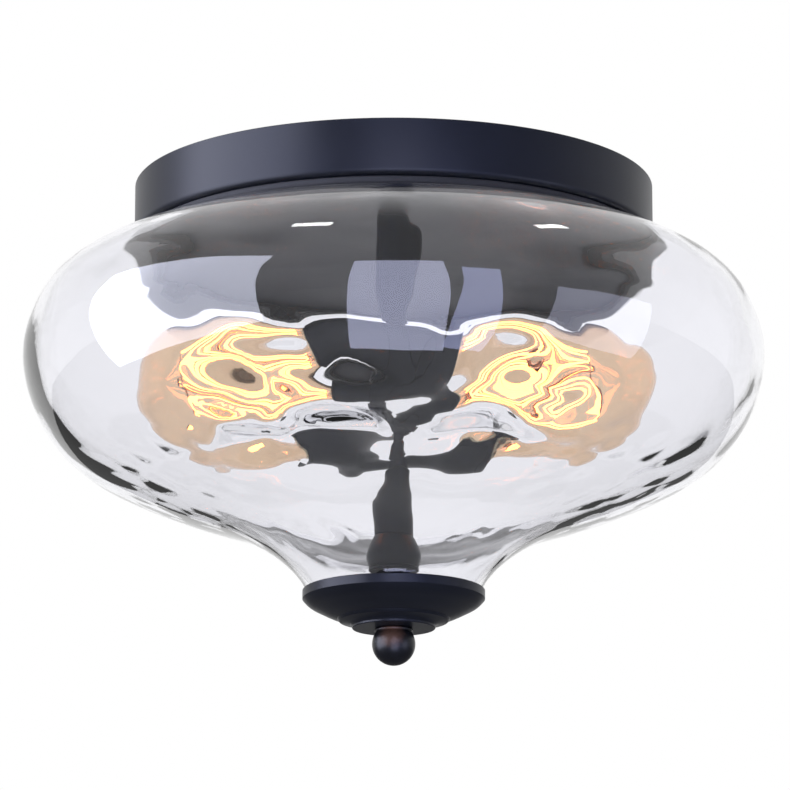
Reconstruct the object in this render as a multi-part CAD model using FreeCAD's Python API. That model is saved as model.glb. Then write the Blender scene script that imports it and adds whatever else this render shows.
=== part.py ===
import FreeCAD, Part
import math
import os

"""Flush ceiling lantern: a steel pan carries a two-lamp cluster on a central
stem, and a blown glass shade hangs from the same stem on a dished cap.

All sizes are in millimetres.  The origin is the centre of the ceiling plane,
+Z points up into the ceiling and the lantern hangs below it.  The two lamps
lie along X.
"""

V = FreeCAD.Vector

# ---------------------------------------------------------------- clearances
RUNNING = 0.05          # radial clearance of a screwed or sliding fit
CLEAR = 0.3             # gap between curved faces that turn or slide past
FACE_GAP = 0.1          # gap between flat faces of pieces that part

# ------------------------------------------------------------- ceiling parts
BAR_LENGTH = 108.0
BAR_WIDTH = 22.0
BAR_THICK = 2.0
SLOT_SPACING = 79.4     # slot centre to slot centre, outlet box screws
SLOT_LENGTH = 14.6
SLOT_RADIUS = 2.5
GROUND_HOLE_X = 20.0
GROUND_SCREW_RADIUS = 2.4
GROUND_HEAD_RADIUS = 4.2
GROUND_HEAD_HEIGHT = 2.2

PAN_RADIUS = 116.0
PAN_DEPTH = 25.0
PAN_SHEET = 1.0
PAN_CORNER = 3.0

# ------------------------------------------------------- threaded stem parts
PIPE_RADIUS = 5.0       # 1/8 in lamp pipe, outside
PIPE_BORE = 3.5
NUT_FLATS = 14.3
NUT_HEIGHT = 3.0
WASHER_RADIUS = 12.0
WASHER_THICK = 1.2
STEM_RADIUS = 8.7
STEM_WALL = 1.6

# -------------------------------------------------------------- lamp cluster
LAMP_DROP = 59.6        # lamps' axis below the rim of the glass
HUB_RADIUS = 18.0
HUB_HALF_WIDTH = 6.5
HUB_CAVITY_RADIUS = 10.5
BOSS_HEIGHT = 3.5
BOSS_FOOT_RADIUS = 13.0
SOCKET_MOUTH_X = 36.5
COVER_SHEET = 1.0
PORCELAIN_WALL_GAP = 0.2
PORCELAIN_FLOOR = 3.0
SOCKET_SCREW_OFFSET = 12.6
SOCKET_SCREW_RADIUS = 1.5
SOCKET_SCREW_LENGTH = 7.0
SOCKET_HEAD_RADIUS = 2.4
SOCKET_HEAD_HEIGHT = 1.4
SHELL_SHEET = 0.4
CONTACT_RADIUS = 4.2
CONTACT_THICK = 0.5
CONTACT_RISE = 0.4
LEAD_RADIUS = 0.9
LEAD_OFFSET = 1.6       # of each lead from the pipe's axis
LEAD_BEND = 4.0

# --------------------------------------------------------------------- lamps
CAP_SHELL_RADIUS = 13.0     # 26 mm screw cap
CAP_SHELL_LENGTH = 21.0
CAP_SHELL_WALL = 0.4
CAP_THREAD_PITCH = 3.63
CAP_THREAD_DEPTH = 0.6
CAP_COLLAR = 4.0        # plain collar above the thread, at the least
INSULATOR_HEIGHT = 3.4
LAMP_CONTACT_RADIUS = 4.6
LAMP_CONTACT_HEIGHT = 1.4
LAMP_LENGTH = 98.4      # contact to glass tip
LAMP_BULB_RADIUS = 30.0
LAMP_GLASS = 0.8
STEM_ROD_RADIUS = 3.0
STEM_FLARE_LENGTH = 9.5     # glass stem's flare in the neck
STEM_END_REACH = 1.5    # of the stem past the cage's head
CAGE_STRANDS = 10
CAGE_FOOT_RADIUS = 7.0
CAGE_HEAD_RADIUS = 12.5
CAGE_LENGTH = 44.0
CAGE_FOOT_GAP = 6.0     # from the neck's end to the cage's foot
FILAMENT_RADIUS = 0.55
SUPPORT_RADIUS = 0.3

# --------------------------------------------------------------- glass shade
RIM_DROP = 3.4          # rim of the glass below the pan
SHADE_HEIGHT = 158.8
SHADE_RIM_RADIUS = 114.2
SHADE_BELLY_RADIUS = 165.0
SHADE_BELLY_DROP = 47.6 # widest place below the rim
SHADE_NECK_PLAY = 2.3   # between the glass's foot and the cap's band
SHADE_WALL = 3.2
GASKET_WIDTH = 6.0
GASKET_SEAT_GAP = 0.2   # between the rim of the glass and its gasket

# ------------------------------------------------------ lower stem and cap
BELL_HEIGHT = 17.0
BELL_LIFT = 9.5         # bell's foot above the cap's rim
BELL_RADIUS = 12.2
BELL_FLANGE_RADIUS = 11.2
BELL_FLANGE_HEIGHT = 2.0
LOWER_NUT_FLATS = 13.0
CAP_RIM_RADIUS = 40.3
CAP_OVERLAP = 4.2       # cap's rim above the foot of the glass
CAP_DEPTH = 17.2
CAP_RIM_HEIGHT = 4.0
CAP_STEP_RADIUS = 25.0
CAP_PLATE_RADIUS = 18.4
CAP_SHEET = 1.0
FINIAL_COLLAR_RADIUS = 8.35
FINIAL_COLLAR_HEIGHT = 2.2
FINIAL_BALL_RADIUS = 9.55
FINIAL_BALL_DROP = 6.9  # ball centre below the cap's floor
FINIAL_BORE_DEPTH = 9.0
ROD_ENGAGEMENT = 7.0    # of the rod in the finial

# ------------------------------------------------------------ derived places
PAN_UNDER_Z = -PAN_DEPTH
SHADE_TOP_Z = PAN_UNDER_Z - RIM_DROP
SHADE_BELLY_Z = SHADE_TOP_Z - SHADE_BELLY_DROP
SHADE_FOOT_Z = SHADE_TOP_Z - SHADE_HEIGHT
SHADE_NECK_RADIUS = CAP_RIM_RADIUS - CAP_SHEET - SHADE_NECK_PLAY
LAMP_AXIS_Z = SHADE_TOP_Z - LAMP_DROP
CAP_RIM_TOP_Z = SHADE_FOOT_Z + CAP_OVERLAP
CAP_FLOOR_Z = CAP_RIM_TOP_Z - CAP_DEPTH
BELL_BOTTOM_Z = CAP_RIM_TOP_Z + BELL_LIFT
BELL_TOP_Z = BELL_BOTTOM_Z + BELL_HEIGHT
HUB_TOP_Z = LAMP_AXIS_Z + HUB_RADIUS + BOSS_HEIGHT
HUB_BOTTOM_Z = LAMP_AXIS_Z - HUB_RADIUS - BOSS_HEIGHT
HUB_PIPE_DEPTH = HUB_RADIUS + BOSS_HEIGHT - HUB_CAVITY_RADIUS
ROD_END_Z = CAP_FLOOR_Z - ROD_ENGAGEMENT
PORCELAIN_BACK_X = HUB_HALF_WIDTH + COVER_SHEET + FACE_GAP
PORCELAIN_FLOOR_X = PORCELAIN_BACK_X + PORCELAIN_FLOOR
PORCELAIN_RADIUS = HUB_RADIUS - COVER_SHEET - PORCELAIN_WALL_GAP
SHELL_BORE = CAP_SHELL_RADIUS + CLEAR
LAMP_FOOT_X = PORCELAIN_FLOOR_X + CONTACT_THICK + CONTACT_RISE + CLEAR
CAP_SHELL_X = LAMP_FOOT_X + LAMP_CONTACT_HEIGHT + INSULATOR_HEIGHT
CAP_SHELL_END_X = CAP_SHELL_X + CAP_SHELL_LENGTH
THREAD_RIBS = int((CAP_SHELL_LENGTH - CAP_COLLAR) / CAP_THREAD_PITCH)
THREAD_END_X = CAP_SHELL_X + THREAD_RIBS * CAP_THREAD_PITCH
LAMP_NECK_RADIUS = CAP_SHELL_RADIUS - CAP_SHELL_WALL - FACE_GAP
LAMP_ROOT_X = THREAD_END_X + CAP_THREAD_DEPTH + FACE_GAP
LAMP_TIP_X = LAMP_FOOT_X + LAMP_LENGTH


# ------------------------------------------------------------------- helpers
def line(start, end):
    """Straight edge between two (r, z) points."""
    return Part.makeLine(V(start[0], 0, start[1]), V(end[0], 0, end[1]))


def arc(start, middle, end):
    """Circular edge through three (r, z) points."""
    points = [V(p[0], 0, p[1]) for p in (start, middle, end)]
    return Part.Arc(*points).toShape()


def curve(points):
    """Smooth edge through a few (r, z) points."""
    spline = Part.BSplineCurve()
    spline.interpolate([V(p[0], 0, p[1]) for p in points])
    return spline.toShape()


def polygon(points):
    """Closed run of straight edges through (r, z) points."""
    return [line(a, b) for a, b in zip(points, points[1:] + points[:1])]


def turned(edges):
    """Solid of revolution about Z of a closed run of (r, z) edges."""
    face = Part.Face(Part.Wire(edges))
    solid = face.revolve(V(0, 0, 0), V(0, 0, 1), 360)
    return Part.Solid(solid) if solid.ShapeType == "Shell" else solid


def ring(outer, inner, low, high):
    """Plain ring about Z between two heights."""
    return turned(polygon([(inner, low), (outer, low), (outer, high), (inner, high)]))


def inset(points, wall):
    """Points moved a wall's thickness to the left of the way they run."""
    moved = []
    for i, (r, z) in enumerate(points):
        before = points[max(i - 1, 0)]
        after = points[min(i + 1, len(points) - 1)]
        dr, dz = after[0] - before[0], after[1] - before[1]
        length = math.hypot(dr, dz)
        moved.append((r + wall * dz / length, z - wall * dr / length))
    return moved


def along_x(shape, height=LAMP_AXIS_Z):
    """A piece turned about Z, laid along +X at the lamps' height."""
    laid = shape.copy()
    laid.rotate(V(0, 0, 0), V(0, 1, 0), 90)
    laid.translate(V(0, 0, height))
    return laid


def to_left(shape):
    """The piece of the right lamp, turned half round to the left."""
    other = shape.copy()
    other.rotate(V(0, 0, 0), V(0, 0, 1), 180)
    return other


def hex_nut(flats, height, low, bore):
    """Hexagonal nut about Z with its two faces chamfered."""
    corner = flats / math.sqrt(3)
    points = [V(corner * math.cos(math.radians(60 * i)),
                corner * math.sin(math.radians(60 * i)), low) for i in range(7)]
    prism = Part.Face(Part.makePolygon(points)).extrude(V(0, 0, height))
    bevel = corner - flats / 2
    envelope = turned(polygon([(0, low), (flats / 2, low), (corner, low + bevel / 2),
                               (corner, low + height - bevel / 2),
                               (flats / 2, low + height), (0, low + height)]))
    hole = Part.makeCylinder(bore, height, V(0, 0, low))
    return prism.common(envelope).cut(hole)


def rounded_rod(points, radius):
    """Thin round wire along straight runs, with a ball at each bend."""
    solid = None
    for start, end in zip(points, points[1:]):
        run = end - start
        piece = Part.makeCylinder(radius, run.Length, start, run)
        solid = piece if solid is None else solid.fuse(piece)
    for bend in points[1:-1]:
        solid = solid.fuse(Part.makeSphere(radius, bend))
    return solid


# ------------------------------------------------------------- ceiling parts
def crossbar():
    """Steel strap that screws to the outlet box and carries everything."""
    bar = Part.makeBox(BAR_LENGTH, BAR_WIDTH, BAR_THICK,
                       V(-BAR_LENGTH / 2, -BAR_WIDTH / 2, -BAR_THICK))
    corners = [e for e in bar.Edges if abs(e.Vertexes[0].Z - e.Vertexes[-1].Z) > BAR_THICK / 2]
    bar = bar.makeFillet(BAR_WIDTH / 4, corners)
    bar = bar.cut(Part.makeCylinder(PIPE_RADIUS + RUNNING, BAR_THICK, V(0, 0, -BAR_THICK)))
    straight = SLOT_LENGTH - 2 * SLOT_RADIUS
    for side in (-1, 1):
        centre = side * SLOT_SPACING / 2
        slot = Part.makeBox(straight, 2 * SLOT_RADIUS, BAR_THICK,
                            V(centre - straight / 2, -SLOT_RADIUS, -BAR_THICK))
        for end in (-1, 1):
            slot = slot.fuse(Part.makeCylinder(
                SLOT_RADIUS, BAR_THICK, V(centre + end * straight / 2, 0, -BAR_THICK)))
        bar = bar.cut(slot)
    hole = Part.makeCylinder(GROUND_SCREW_RADIUS + RUNNING, BAR_THICK,
                             V(GROUND_HOLE_X, 0, -BAR_THICK))
    return bar.cut(hole)


def ground_screw():
    """Earthing screw with a slotted head, driven up through the strap."""
    head_top = -BAR_THICK
    head = Part.makeCylinder(GROUND_HEAD_RADIUS, GROUND_HEAD_HEIGHT,
                             V(GROUND_HOLE_X, 0, head_top - GROUND_HEAD_HEIGHT))
    slot = Part.makeBox(2 * GROUND_HEAD_RADIUS, GROUND_HEAD_RADIUS / 4, GROUND_HEAD_HEIGHT / 2,
                        V(GROUND_HOLE_X - GROUND_HEAD_RADIUS, -GROUND_HEAD_RADIUS / 8,
                          head_top - GROUND_HEAD_HEIGHT))
    shank = Part.makeCylinder(GROUND_SCREW_RADIUS, BAR_THICK, V(GROUND_HOLE_X, 0, head_top))
    return head.cut(slot).fuse(shank)


def ceiling_pan():
    """Spun steel cup whose open rim lies on the ceiling."""
    inner = PAN_RADIUS - PAN_SHEET
    corner_in = PAN_CORNER - PAN_SHEET
    bore = PIPE_RADIUS + CLEAR
    floor_top = PAN_UNDER_Z + PAN_SHEET
    turn = 1 - math.sqrt(0.5)
    edges = [
        line((bore, PAN_UNDER_Z), (PAN_RADIUS - PAN_CORNER, PAN_UNDER_Z)),
        arc((PAN_RADIUS - PAN_CORNER, PAN_UNDER_Z),
            (PAN_RADIUS - PAN_CORNER * turn, PAN_UNDER_Z + PAN_CORNER * turn),
            (PAN_RADIUS, PAN_UNDER_Z + PAN_CORNER)),
        line((PAN_RADIUS, PAN_UNDER_Z + PAN_CORNER), (PAN_RADIUS, 0)),
        line((PAN_RADIUS, 0), (inner, 0)),
        line((inner, 0), (inner, floor_top + corner_in)),
        arc((inner, floor_top + corner_in),
            (inner - corner_in * turn, floor_top + corner_in * turn),
            (inner - corner_in, floor_top)),
        line((inner - corner_in, floor_top), (bore, floor_top)),
        line((bore, floor_top), (bore, PAN_UNDER_Z)),
    ]
    return turned(edges)


def shade_gasket():
    """Foam ring under the pan that the rim of the glass is drawn up to."""
    outer = SHADE_RIM_RADIUS - FACE_GAP
    return ring(outer, outer - GASKET_WIDTH, SHADE_TOP_Z + GASKET_SEAT_GAP, PAN_UNDER_Z)


# ------------------------------------------------------- threaded stem parts
def supply_pipe():
    """Hollow threaded pipe from the strap down into the cluster's hub."""
    low = HUB_TOP_Z - HUB_PIPE_DEPTH
    return ring(PIPE_RADIUS, PIPE_BORE, low, 0)


def strap_nut():
    """Nut that locks the pipe under the strap."""
    return hex_nut(NUT_FLATS, NUT_HEIGHT, -BAR_THICK - NUT_HEIGHT, PIPE_RADIUS + RUNNING)


def pan_washer():
    """Wide washer on the pan's floor."""
    low = PAN_UNDER_Z + PAN_SHEET
    return ring(WASHER_RADIUS, PIPE_RADIUS + CLEAR, low, low + WASHER_THICK)


def pan_nut():
    """Nut that clamps the pan down on the upper stem."""
    low = PAN_UNDER_Z + PAN_SHEET + WASHER_THICK
    return hex_nut(NUT_FLATS, NUT_HEIGHT, low, PIPE_RADIUS + RUNNING)


def upper_stem():
    """Tube between the pan and the cluster, round the threaded pipe."""
    return ring(STEM_RADIUS, STEM_RADIUS - STEM_WALL, HUB_TOP_Z, PAN_UNDER_Z)


def lower_rod():
    """Threaded rod from the hub down through the cap into the finial."""
    high = HUB_BOTTOM_Z + HUB_PIPE_DEPTH
    return ring(PIPE_RADIUS, PIPE_BORE, ROD_END_Z, high)


def lower_stem():
    """Tube between the cluster and the bell, round the threaded rod."""
    return ring(STEM_RADIUS, STEM_RADIUS - STEM_WALL, BELL_TOP_Z, HUB_BOTTOM_Z)


def bell():
    """Turned bell that screws up the rod and ends the lower stem."""
    bore = PIPE_RADIUS + RUNNING
    shoulder = (STEM_RADIUS, BELL_TOP_Z)
    foot_top = BELL_BOTTOM_Z + BELL_FLANGE_HEIGHT
    foot_radius = BELL_RADIUS - 1.2
    height = BELL_TOP_Z - foot_top
    bulge = (BELL_RADIUS, foot_top + height * 0.32)
    edges = [
        line((bore, BELL_BOTTOM_Z), (BELL_FLANGE_RADIUS, BELL_BOTTOM_Z)),
        line((BELL_FLANGE_RADIUS, BELL_BOTTOM_Z), (BELL_FLANGE_RADIUS, foot_top)),
        line((BELL_FLANGE_RADIUS, foot_top), (foot_radius, foot_top)),
        curve([(foot_radius, foot_top), bulge,
               (BELL_RADIUS * 0.45 + STEM_RADIUS * 0.55, foot_top + height * 0.8), shoulder]),
        line(shoulder, (bore, BELL_TOP_Z)),
        line((bore, BELL_TOP_Z), (bore, BELL_BOTTOM_Z)),
    ]
    return turned(edges)


def bell_nut():
    """Nut under the bell."""
    return hex_nut(LOWER_NUT_FLATS, NUT_HEIGHT, BELL_BOTTOM_Z - NUT_HEIGHT,
                   PIPE_RADIUS + RUNNING)


# -------------------------------------------------------------- lamp cluster
def hub():
    """Cast hub: a short drum across the stem, hollow for the leads."""
    drum = along_x(ring(HUB_RADIUS, HUB_CAVITY_RADIUS, -HUB_HALF_WIDTH, HUB_HALF_WIDTH))
    body = drum
    for sign in (1, -1):
        foot = sign * (HUB_RADIUS - BOSS_HEIGHT)
        tip = sign * (HUB_RADIUS + BOSS_HEIGHT)
        middle = (STEM_RADIUS + 0.8, sign * HUB_RADIUS * 1.04)
        boss = turned([line((0, foot), (BOSS_FOOT_RADIUS, foot)),
                       arc((BOSS_FOOT_RADIUS, foot), middle, (STEM_RADIUS, tip)),
                       line((STEM_RADIUS, tip), (0, tip)),
                       line((0, tip), (0, foot))])
        body = body.fuse(boss.translated(V(0, 0, LAMP_AXIS_Z)))
    body = body.cut(Part.makeCylinder(PIPE_RADIUS + RUNNING, HUB_TOP_Z - HUB_BOTTOM_Z,
                                      V(0, 0, HUB_BOTTOM_Z)))
    for y in (-SOCKET_SCREW_OFFSET, SOCKET_SCREW_OFFSET):
        body = body.cut(Part.makeCylinder(SOCKET_SCREW_RADIUS + RUNNING, 2 * HUB_HALF_WIDTH,
                                          V(-HUB_HALF_WIDTH, y, LAMP_AXIS_Z), V(1, 0, 0)))
    # the bosses keep off the covers on both sides
    keep = Part.makeBox(2 * HUB_HALF_WIDTH, 4 * HUB_RADIUS, 4 * HUB_RADIUS,
                        V(-HUB_HALF_WIDTH, -2 * HUB_RADIUS, LAMP_AXIS_Z - 2 * HUB_RADIUS))
    return body.common(keep)


def socket_cover():
    """Drawn metal cup round one socket, its floor screwed to the hub."""
    back = HUB_HALF_WIDTH
    floor = back + COVER_SHEET
    inner = HUB_RADIUS - COVER_SHEET
    lip = COVER_SHEET * 0.5
    cup = turned([
        line((HUB_CAVITY_RADIUS, back), (HUB_RADIUS, back)),
        line((HUB_RADIUS, back), (HUB_RADIUS, SOCKET_MOUTH_X - lip)),
        arc((HUB_RADIUS, SOCKET_MOUTH_X - lip),
            (HUB_RADIUS - lip * 0.3, SOCKET_MOUTH_X - lip * 0.3),
            (HUB_RADIUS - lip, SOCKET_MOUTH_X)),
        line((HUB_RADIUS - lip, SOCKET_MOUTH_X), (inner, SOCKET_MOUTH_X)),
        line((inner, SOCKET_MOUTH_X), (inner, floor)),
        line((inner, floor), (HUB_CAVITY_RADIUS, floor)),
        line((HUB_CAVITY_RADIUS, floor), (HUB_CAVITY_RADIUS, back)),
    ])
    cup = along_x(cup)
    for y in (-SOCKET_SCREW_OFFSET, SOCKET_SCREW_OFFSET):
        cup = cup.cut(Part.makeCylinder(SOCKET_SCREW_RADIUS + RUNNING, COVER_SHEET,
                                        V(back, y, LAMP_AXIS_Z), V(1, 0, 0)))
    return cup


def porcelain():
    """Glazed porcelain body of one lamp socket."""
    bore = SHELL_BORE + SHELL_SHEET + FACE_GAP
    body = along_x(turned(polygon([
        (SOCKET_SCREW_RADIUS + RUNNING, PORCELAIN_BACK_X),
        (PORCELAIN_RADIUS, PORCELAIN_BACK_X),
        (PORCELAIN_RADIUS, SOCKET_MOUTH_X - 1.6),
        (PORCELAIN_RADIUS - 1.0, SOCKET_MOUTH_X - 0.6),
        (bore, SOCKET_MOUTH_X - 0.6),
        (bore, PORCELAIN_FLOOR_X),
        (SOCKET_SCREW_RADIUS + RUNNING, PORCELAIN_FLOOR_X)])))
    pocket_depth = SOCKET_HEAD_HEIGHT + 1.0
    for y in (-SOCKET_SCREW_OFFSET, SOCKET_SCREW_OFFSET):
        body = body.cut(Part.makeCylinder(SOCKET_SCREW_RADIUS + RUNNING, PORCELAIN_FLOOR,
                                          V(PORCELAIN_BACK_X, y, LAMP_AXIS_Z), V(1, 0, 0)))
        body = body.cut(Part.makeCylinder(SOCKET_HEAD_RADIUS + CLEAR, pocket_depth,
                                          V(PORCELAIN_FLOOR_X, y, LAMP_AXIS_Z), V(1, 0, 0)))
    return body


def screw_shell():
    """Brass shell of one socket, rolled to the lamp's thread."""
    low = PORCELAIN_FLOOR_X + SOCKET_HEAD_HEIGHT + 1.4
    high = SOCKET_MOUTH_X - 2.0
    return along_x(ring(SHELL_BORE + SHELL_SHEET, SHELL_BORE, low, high))


def centre_contact():
    """Sprung brass contact on the socket's floor, with its rivet."""
    rivet = SOCKET_SCREW_RADIUS
    back = PORCELAIN_BACK_X
    floor = PORCELAIN_FLOOR_X
    top = floor + CONTACT_THICK
    return along_x(turned(polygon([
        (0, back), (rivet, back), (rivet, floor), (CONTACT_RADIUS, floor),
        (CONTACT_RADIUS, top), (CONTACT_RADIUS * 0.5, top + CONTACT_RISE),
        (0, top + CONTACT_RISE)])))


def socket_screws():
    """Two pan-head screws through the floor of each socket."""
    screws = []
    for side in (-1, 1):
        for y in (-SOCKET_SCREW_OFFSET, SOCKET_SCREW_OFFSET):
            seat = V(side * PORCELAIN_FLOOR_X, y, LAMP_AXIS_Z)
            out = V(side, 0, 0)
            head = Part.makeCylinder(SOCKET_HEAD_RADIUS, SOCKET_HEAD_HEIGHT, seat, out)
            shank = Part.makeCylinder(SOCKET_SCREW_RADIUS, SOCKET_SCREW_LENGTH, seat, -out)
            slot = Part.makeBox(SOCKET_HEAD_HEIGHT, 2 * SOCKET_HEAD_RADIUS, 0.6,
                                V(min(seat.x, seat.x + side * SOCKET_HEAD_HEIGHT)
                                  + side * SOCKET_HEAD_HEIGHT * 0.5,
                                  y - SOCKET_HEAD_RADIUS, LAMP_AXIS_Z - 0.3))
            screws.append(head.cut(slot).fuse(shank))
    return Part.makeCompound(screws)


def lead(side, offset_y):
    """One insulated lead: down the pipe, then across to a socket's back."""
    down = LAMP_AXIS_Z + LEAD_BEND
    x = side * LEAD_OFFSET
    end_x = side * (PORCELAIN_BACK_X - FACE_GAP)
    bend_x = x + side * min(LEAD_BEND, abs(end_x - x) * 0.6)
    fall = LAMP_AXIS_Z
    radius = abs(bend_x - x)
    start = V(x, offset_y, -FACE_GAP)
    corner_top = V(x, offset_y, fall + radius)
    turn = math.sqrt(0.5) * radius
    middle = V(bend_x - side * turn, offset_y, fall + radius - turn)
    corner_end = V(bend_x, offset_y, fall)
    path = Part.Wire([Part.makeLine(start, corner_top),
                      Part.Arc(corner_top, middle, corner_end).toShape(),
                      Part.makeLine(corner_end, V(end_x, offset_y, fall))])
    section = Part.Wire([Part.makeCircle(LEAD_RADIUS, start, V(0, 0, 1))])
    return path.makePipeShell([section], True, False)


def leads(offset_y):
    """The leads of one colour, one to each socket."""
    return Part.makeCompound([lead(side, offset_y) for side in (-1, 1)])


# --------------------------------------------------------------------- lamps
def lamp_outline():
    """(r, x) stations of the lamp's glass from its neck to its tip."""
    neck = LAMP_NECK_RADIUS
    centre = LAMP_TIP_X - LAMP_BULB_RADIUS
    body = centre - CAP_SHELL_END_X
    stations = [
        (neck, LAMP_ROOT_X),
        (neck, CAP_SHELL_END_X),
        (neck + (LAMP_BULB_RADIUS - neck) * 0.17, CAP_SHELL_END_X + body * 0.30),
        (neck + (LAMP_BULB_RADIUS - neck) * 0.62, CAP_SHELL_END_X + body * 0.65),
        (LAMP_BULB_RADIUS, centre),
    ]
    return stations, centre


def lamp_glass():
    """Blown envelope of one lamp: neck, flare and a round end."""
    stations, centre = lamp_outline()
    inner = inset(stations, -LAMP_GLASS)
    inner[0] = (stations[0][0] - LAMP_GLASS, stations[0][1])
    inner[1] = (stations[1][0] - LAMP_GLASS, stations[1][1])
    inner[-1] = (LAMP_BULB_RADIUS - LAMP_GLASS, centre)
    tip = LAMP_TIP_X

    def dome(radius):
        turn = math.sqrt(0.5) * radius
        return arc((radius, centre), (turn, centre + turn), (0, centre + radius))

    edges = [
        curve(stations),
        dome(LAMP_BULB_RADIUS),
        line((0, tip), (0, tip - LAMP_GLASS)),
        dome(LAMP_BULB_RADIUS - LAMP_GLASS),
        curve(inner),
        line(inner[0], stations[0]),
    ]
    return along_x(turned(Part.__sortEdges__(edges)))


def lamp_cap():
    """Screw cap of one lamp, with its rolled thread as rounded ribs."""
    crest = CAP_SHELL_RADIUS
    root = CAP_SHELL_RADIUS - CAP_THREAD_DEPTH
    end = CAP_SHELL_END_X
    foot = (LAMP_CONTACT_RADIUS + 3.0, CAP_SHELL_X - INSULATOR_HEIGHT * 0.4)
    edges = [line(foot, (root, CAP_SHELL_X))]
    for rib in range(THREAD_RIBS):
        low = CAP_SHELL_X + rib * CAP_THREAD_PITCH
        edges.append(arc((root, low), (crest, low + CAP_THREAD_PITCH / 2),
                         (root, low + CAP_THREAD_PITCH)))
    x = THREAD_END_X
    inner = CAP_SHELL_RADIUS - CAP_THREAD_DEPTH - CAP_SHELL_WALL
    lip = CAP_SHELL_RADIUS - CAP_SHELL_WALL
    edges += [
        line((root, x), (crest, x + CAP_THREAD_DEPTH)),
        line((crest, x + CAP_THREAD_DEPTH), (crest, end)),
        line((crest, end), (lip, end)),
        line((lip, end), (lip, x + CAP_THREAD_DEPTH)),
        line((lip, x + CAP_THREAD_DEPTH), (inner, x)),
        line((inner, x), (inner, CAP_SHELL_X + CAP_SHELL_WALL)),
        line((inner, CAP_SHELL_X + CAP_SHELL_WALL), (foot[0], foot[1] + CAP_SHELL_WALL)),
        line((foot[0], foot[1] + CAP_SHELL_WALL), foot),
    ]
    return along_x(turned(edges))


def lamp_insulator():
    """Dark glass insulator between the screw cap and the end contact."""
    low = LAMP_FOOT_X + LAMP_CONTACT_HEIGHT * 0.5
    top = CAP_SHELL_X - INSULATOR_HEIGHT * 0.4
    return along_x(turned(polygon([
        (0, low), (LAMP_CONTACT_RADIUS + 0.6, low), (LAMP_CONTACT_RADIUS + 3.0, top), (0, top)])))


def lamp_contact():
    """Soldered end contact of one lamp."""
    seat = LAMP_FOOT_X + LAMP_CONTACT_HEIGHT * 0.5
    return along_x(turned([
        arc((0, LAMP_FOOT_X), (LAMP_CONTACT_RADIUS * 0.7, LAMP_FOOT_X + LAMP_CONTACT_HEIGHT * 0.12),
            (LAMP_CONTACT_RADIUS, seat)),
        line((LAMP_CONTACT_RADIUS, seat), (0, seat)),
        line((0, seat), (0, LAMP_FOOT_X))]))


def lamp_stem():
    """Glass stem inside one lamp: a hollow flare in the neck and a long rod."""
    neck = LAMP_NECK_RADIUS - LAMP_GLASS
    root = LAMP_ROOT_X
    rod_start = root + STEM_FLARE_LENGTH
    end = CAP_SHELL_END_X + CAGE_FOOT_GAP + CAGE_LENGTH + STEM_END_REACH
    tip = (STEM_ROD_RADIUS * 0.55, end + STEM_ROD_RADIUS * 0.7)
    flare = [(neck, root), (STEM_ROD_RADIUS * 1.7, (root + rod_start) / 2),
             (STEM_ROD_RADIUS, rod_start)]
    hollow = inset(flare, -LAMP_GLASS)
    hollow[0] = (neck - 2 * LAMP_GLASS, root)
    floor = (0, hollow[-1][1])
    edges = [
        curve(flare),
        line(flare[-1], (STEM_ROD_RADIUS, end)),
        line((STEM_ROD_RADIUS, end), tip),
        line(tip, (0, tip[1])),
        line((0, tip[1]), floor),
        line(floor, hollow[-1]),
        curve(hollow[::-1]),
        line(hollow[0], flare[0]),
    ]
    return along_x(turned(edges))


def cage_points():
    """Ends of the filament's strands, foot and head by turns."""
    foot_x = CAP_SHELL_END_X + CAGE_FOOT_GAP
    head_x = foot_x + CAGE_LENGTH
    points = []
    for i in range(CAGE_STRANDS):
        angle = 2 * math.pi * i / CAGE_STRANDS
        at_foot = i % 2 == 0
        r = CAGE_FOOT_RADIUS if at_foot else CAGE_HEAD_RADIUS
        x = foot_x if at_foot else head_x
        points.append(V(x, r * math.cos(angle), LAMP_AXIS_Z + r * math.sin(angle)))
    return points


def filament():
    """Long filament strung to and fro in a cage round the stem."""
    return rounded_rod(cage_points(), FILAMENT_RADIUS)


def filament_supports():
    """Support wires from the glass stem out to the filament's bends."""
    wires = []
    for point in cage_points():
        axis = V(point.x, 0, LAMP_AXIS_Z)
        out = point - axis
        out.normalize()
        start = axis + out * STEM_ROD_RADIUS
        reach = (point - axis).Length - FILAMENT_RADIUS - STEM_ROD_RADIUS - RUNNING
        wires.append(Part.makeCylinder(SUPPORT_RADIUS, reach, start, out))
    return Part.makeCompound(wires)


# --------------------------------------------------------------- glass shade
def shade_outline():
    """(r, z) stations of the shade's outside from its rim to its foot."""
    rim, belly, neck = SHADE_RIM_RADIUS, SHADE_BELLY_RADIUS, SHADE_NECK_RADIUS
    shoulder = SHADE_TOP_Z - SHADE_BELLY_Z
    bowl = SHADE_BELLY_Z - SHADE_FOOT_Z
    upper = [(0.0, 0.0), (0.27, 0.085), (0.55, 0.218), (0.80, 0.44), (0.94, 0.72), (1.0, 1.0)]
    lower = [(0.993, 0.099), (0.928, 0.299), (0.801, 0.458), (0.661, 0.546), (0.454, 0.643),
             (0.251, 0.726), (0.084, 0.853), (0.020, 0.945), (0.0, 1.0)]
    stations = [(rim + (belly - rim) * r, SHADE_TOP_Z - shoulder * d) for r, d in upper]
    stations += [(neck + (belly - neck) * r, SHADE_BELLY_Z - bowl * d) for r, d in lower]
    return stations


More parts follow.
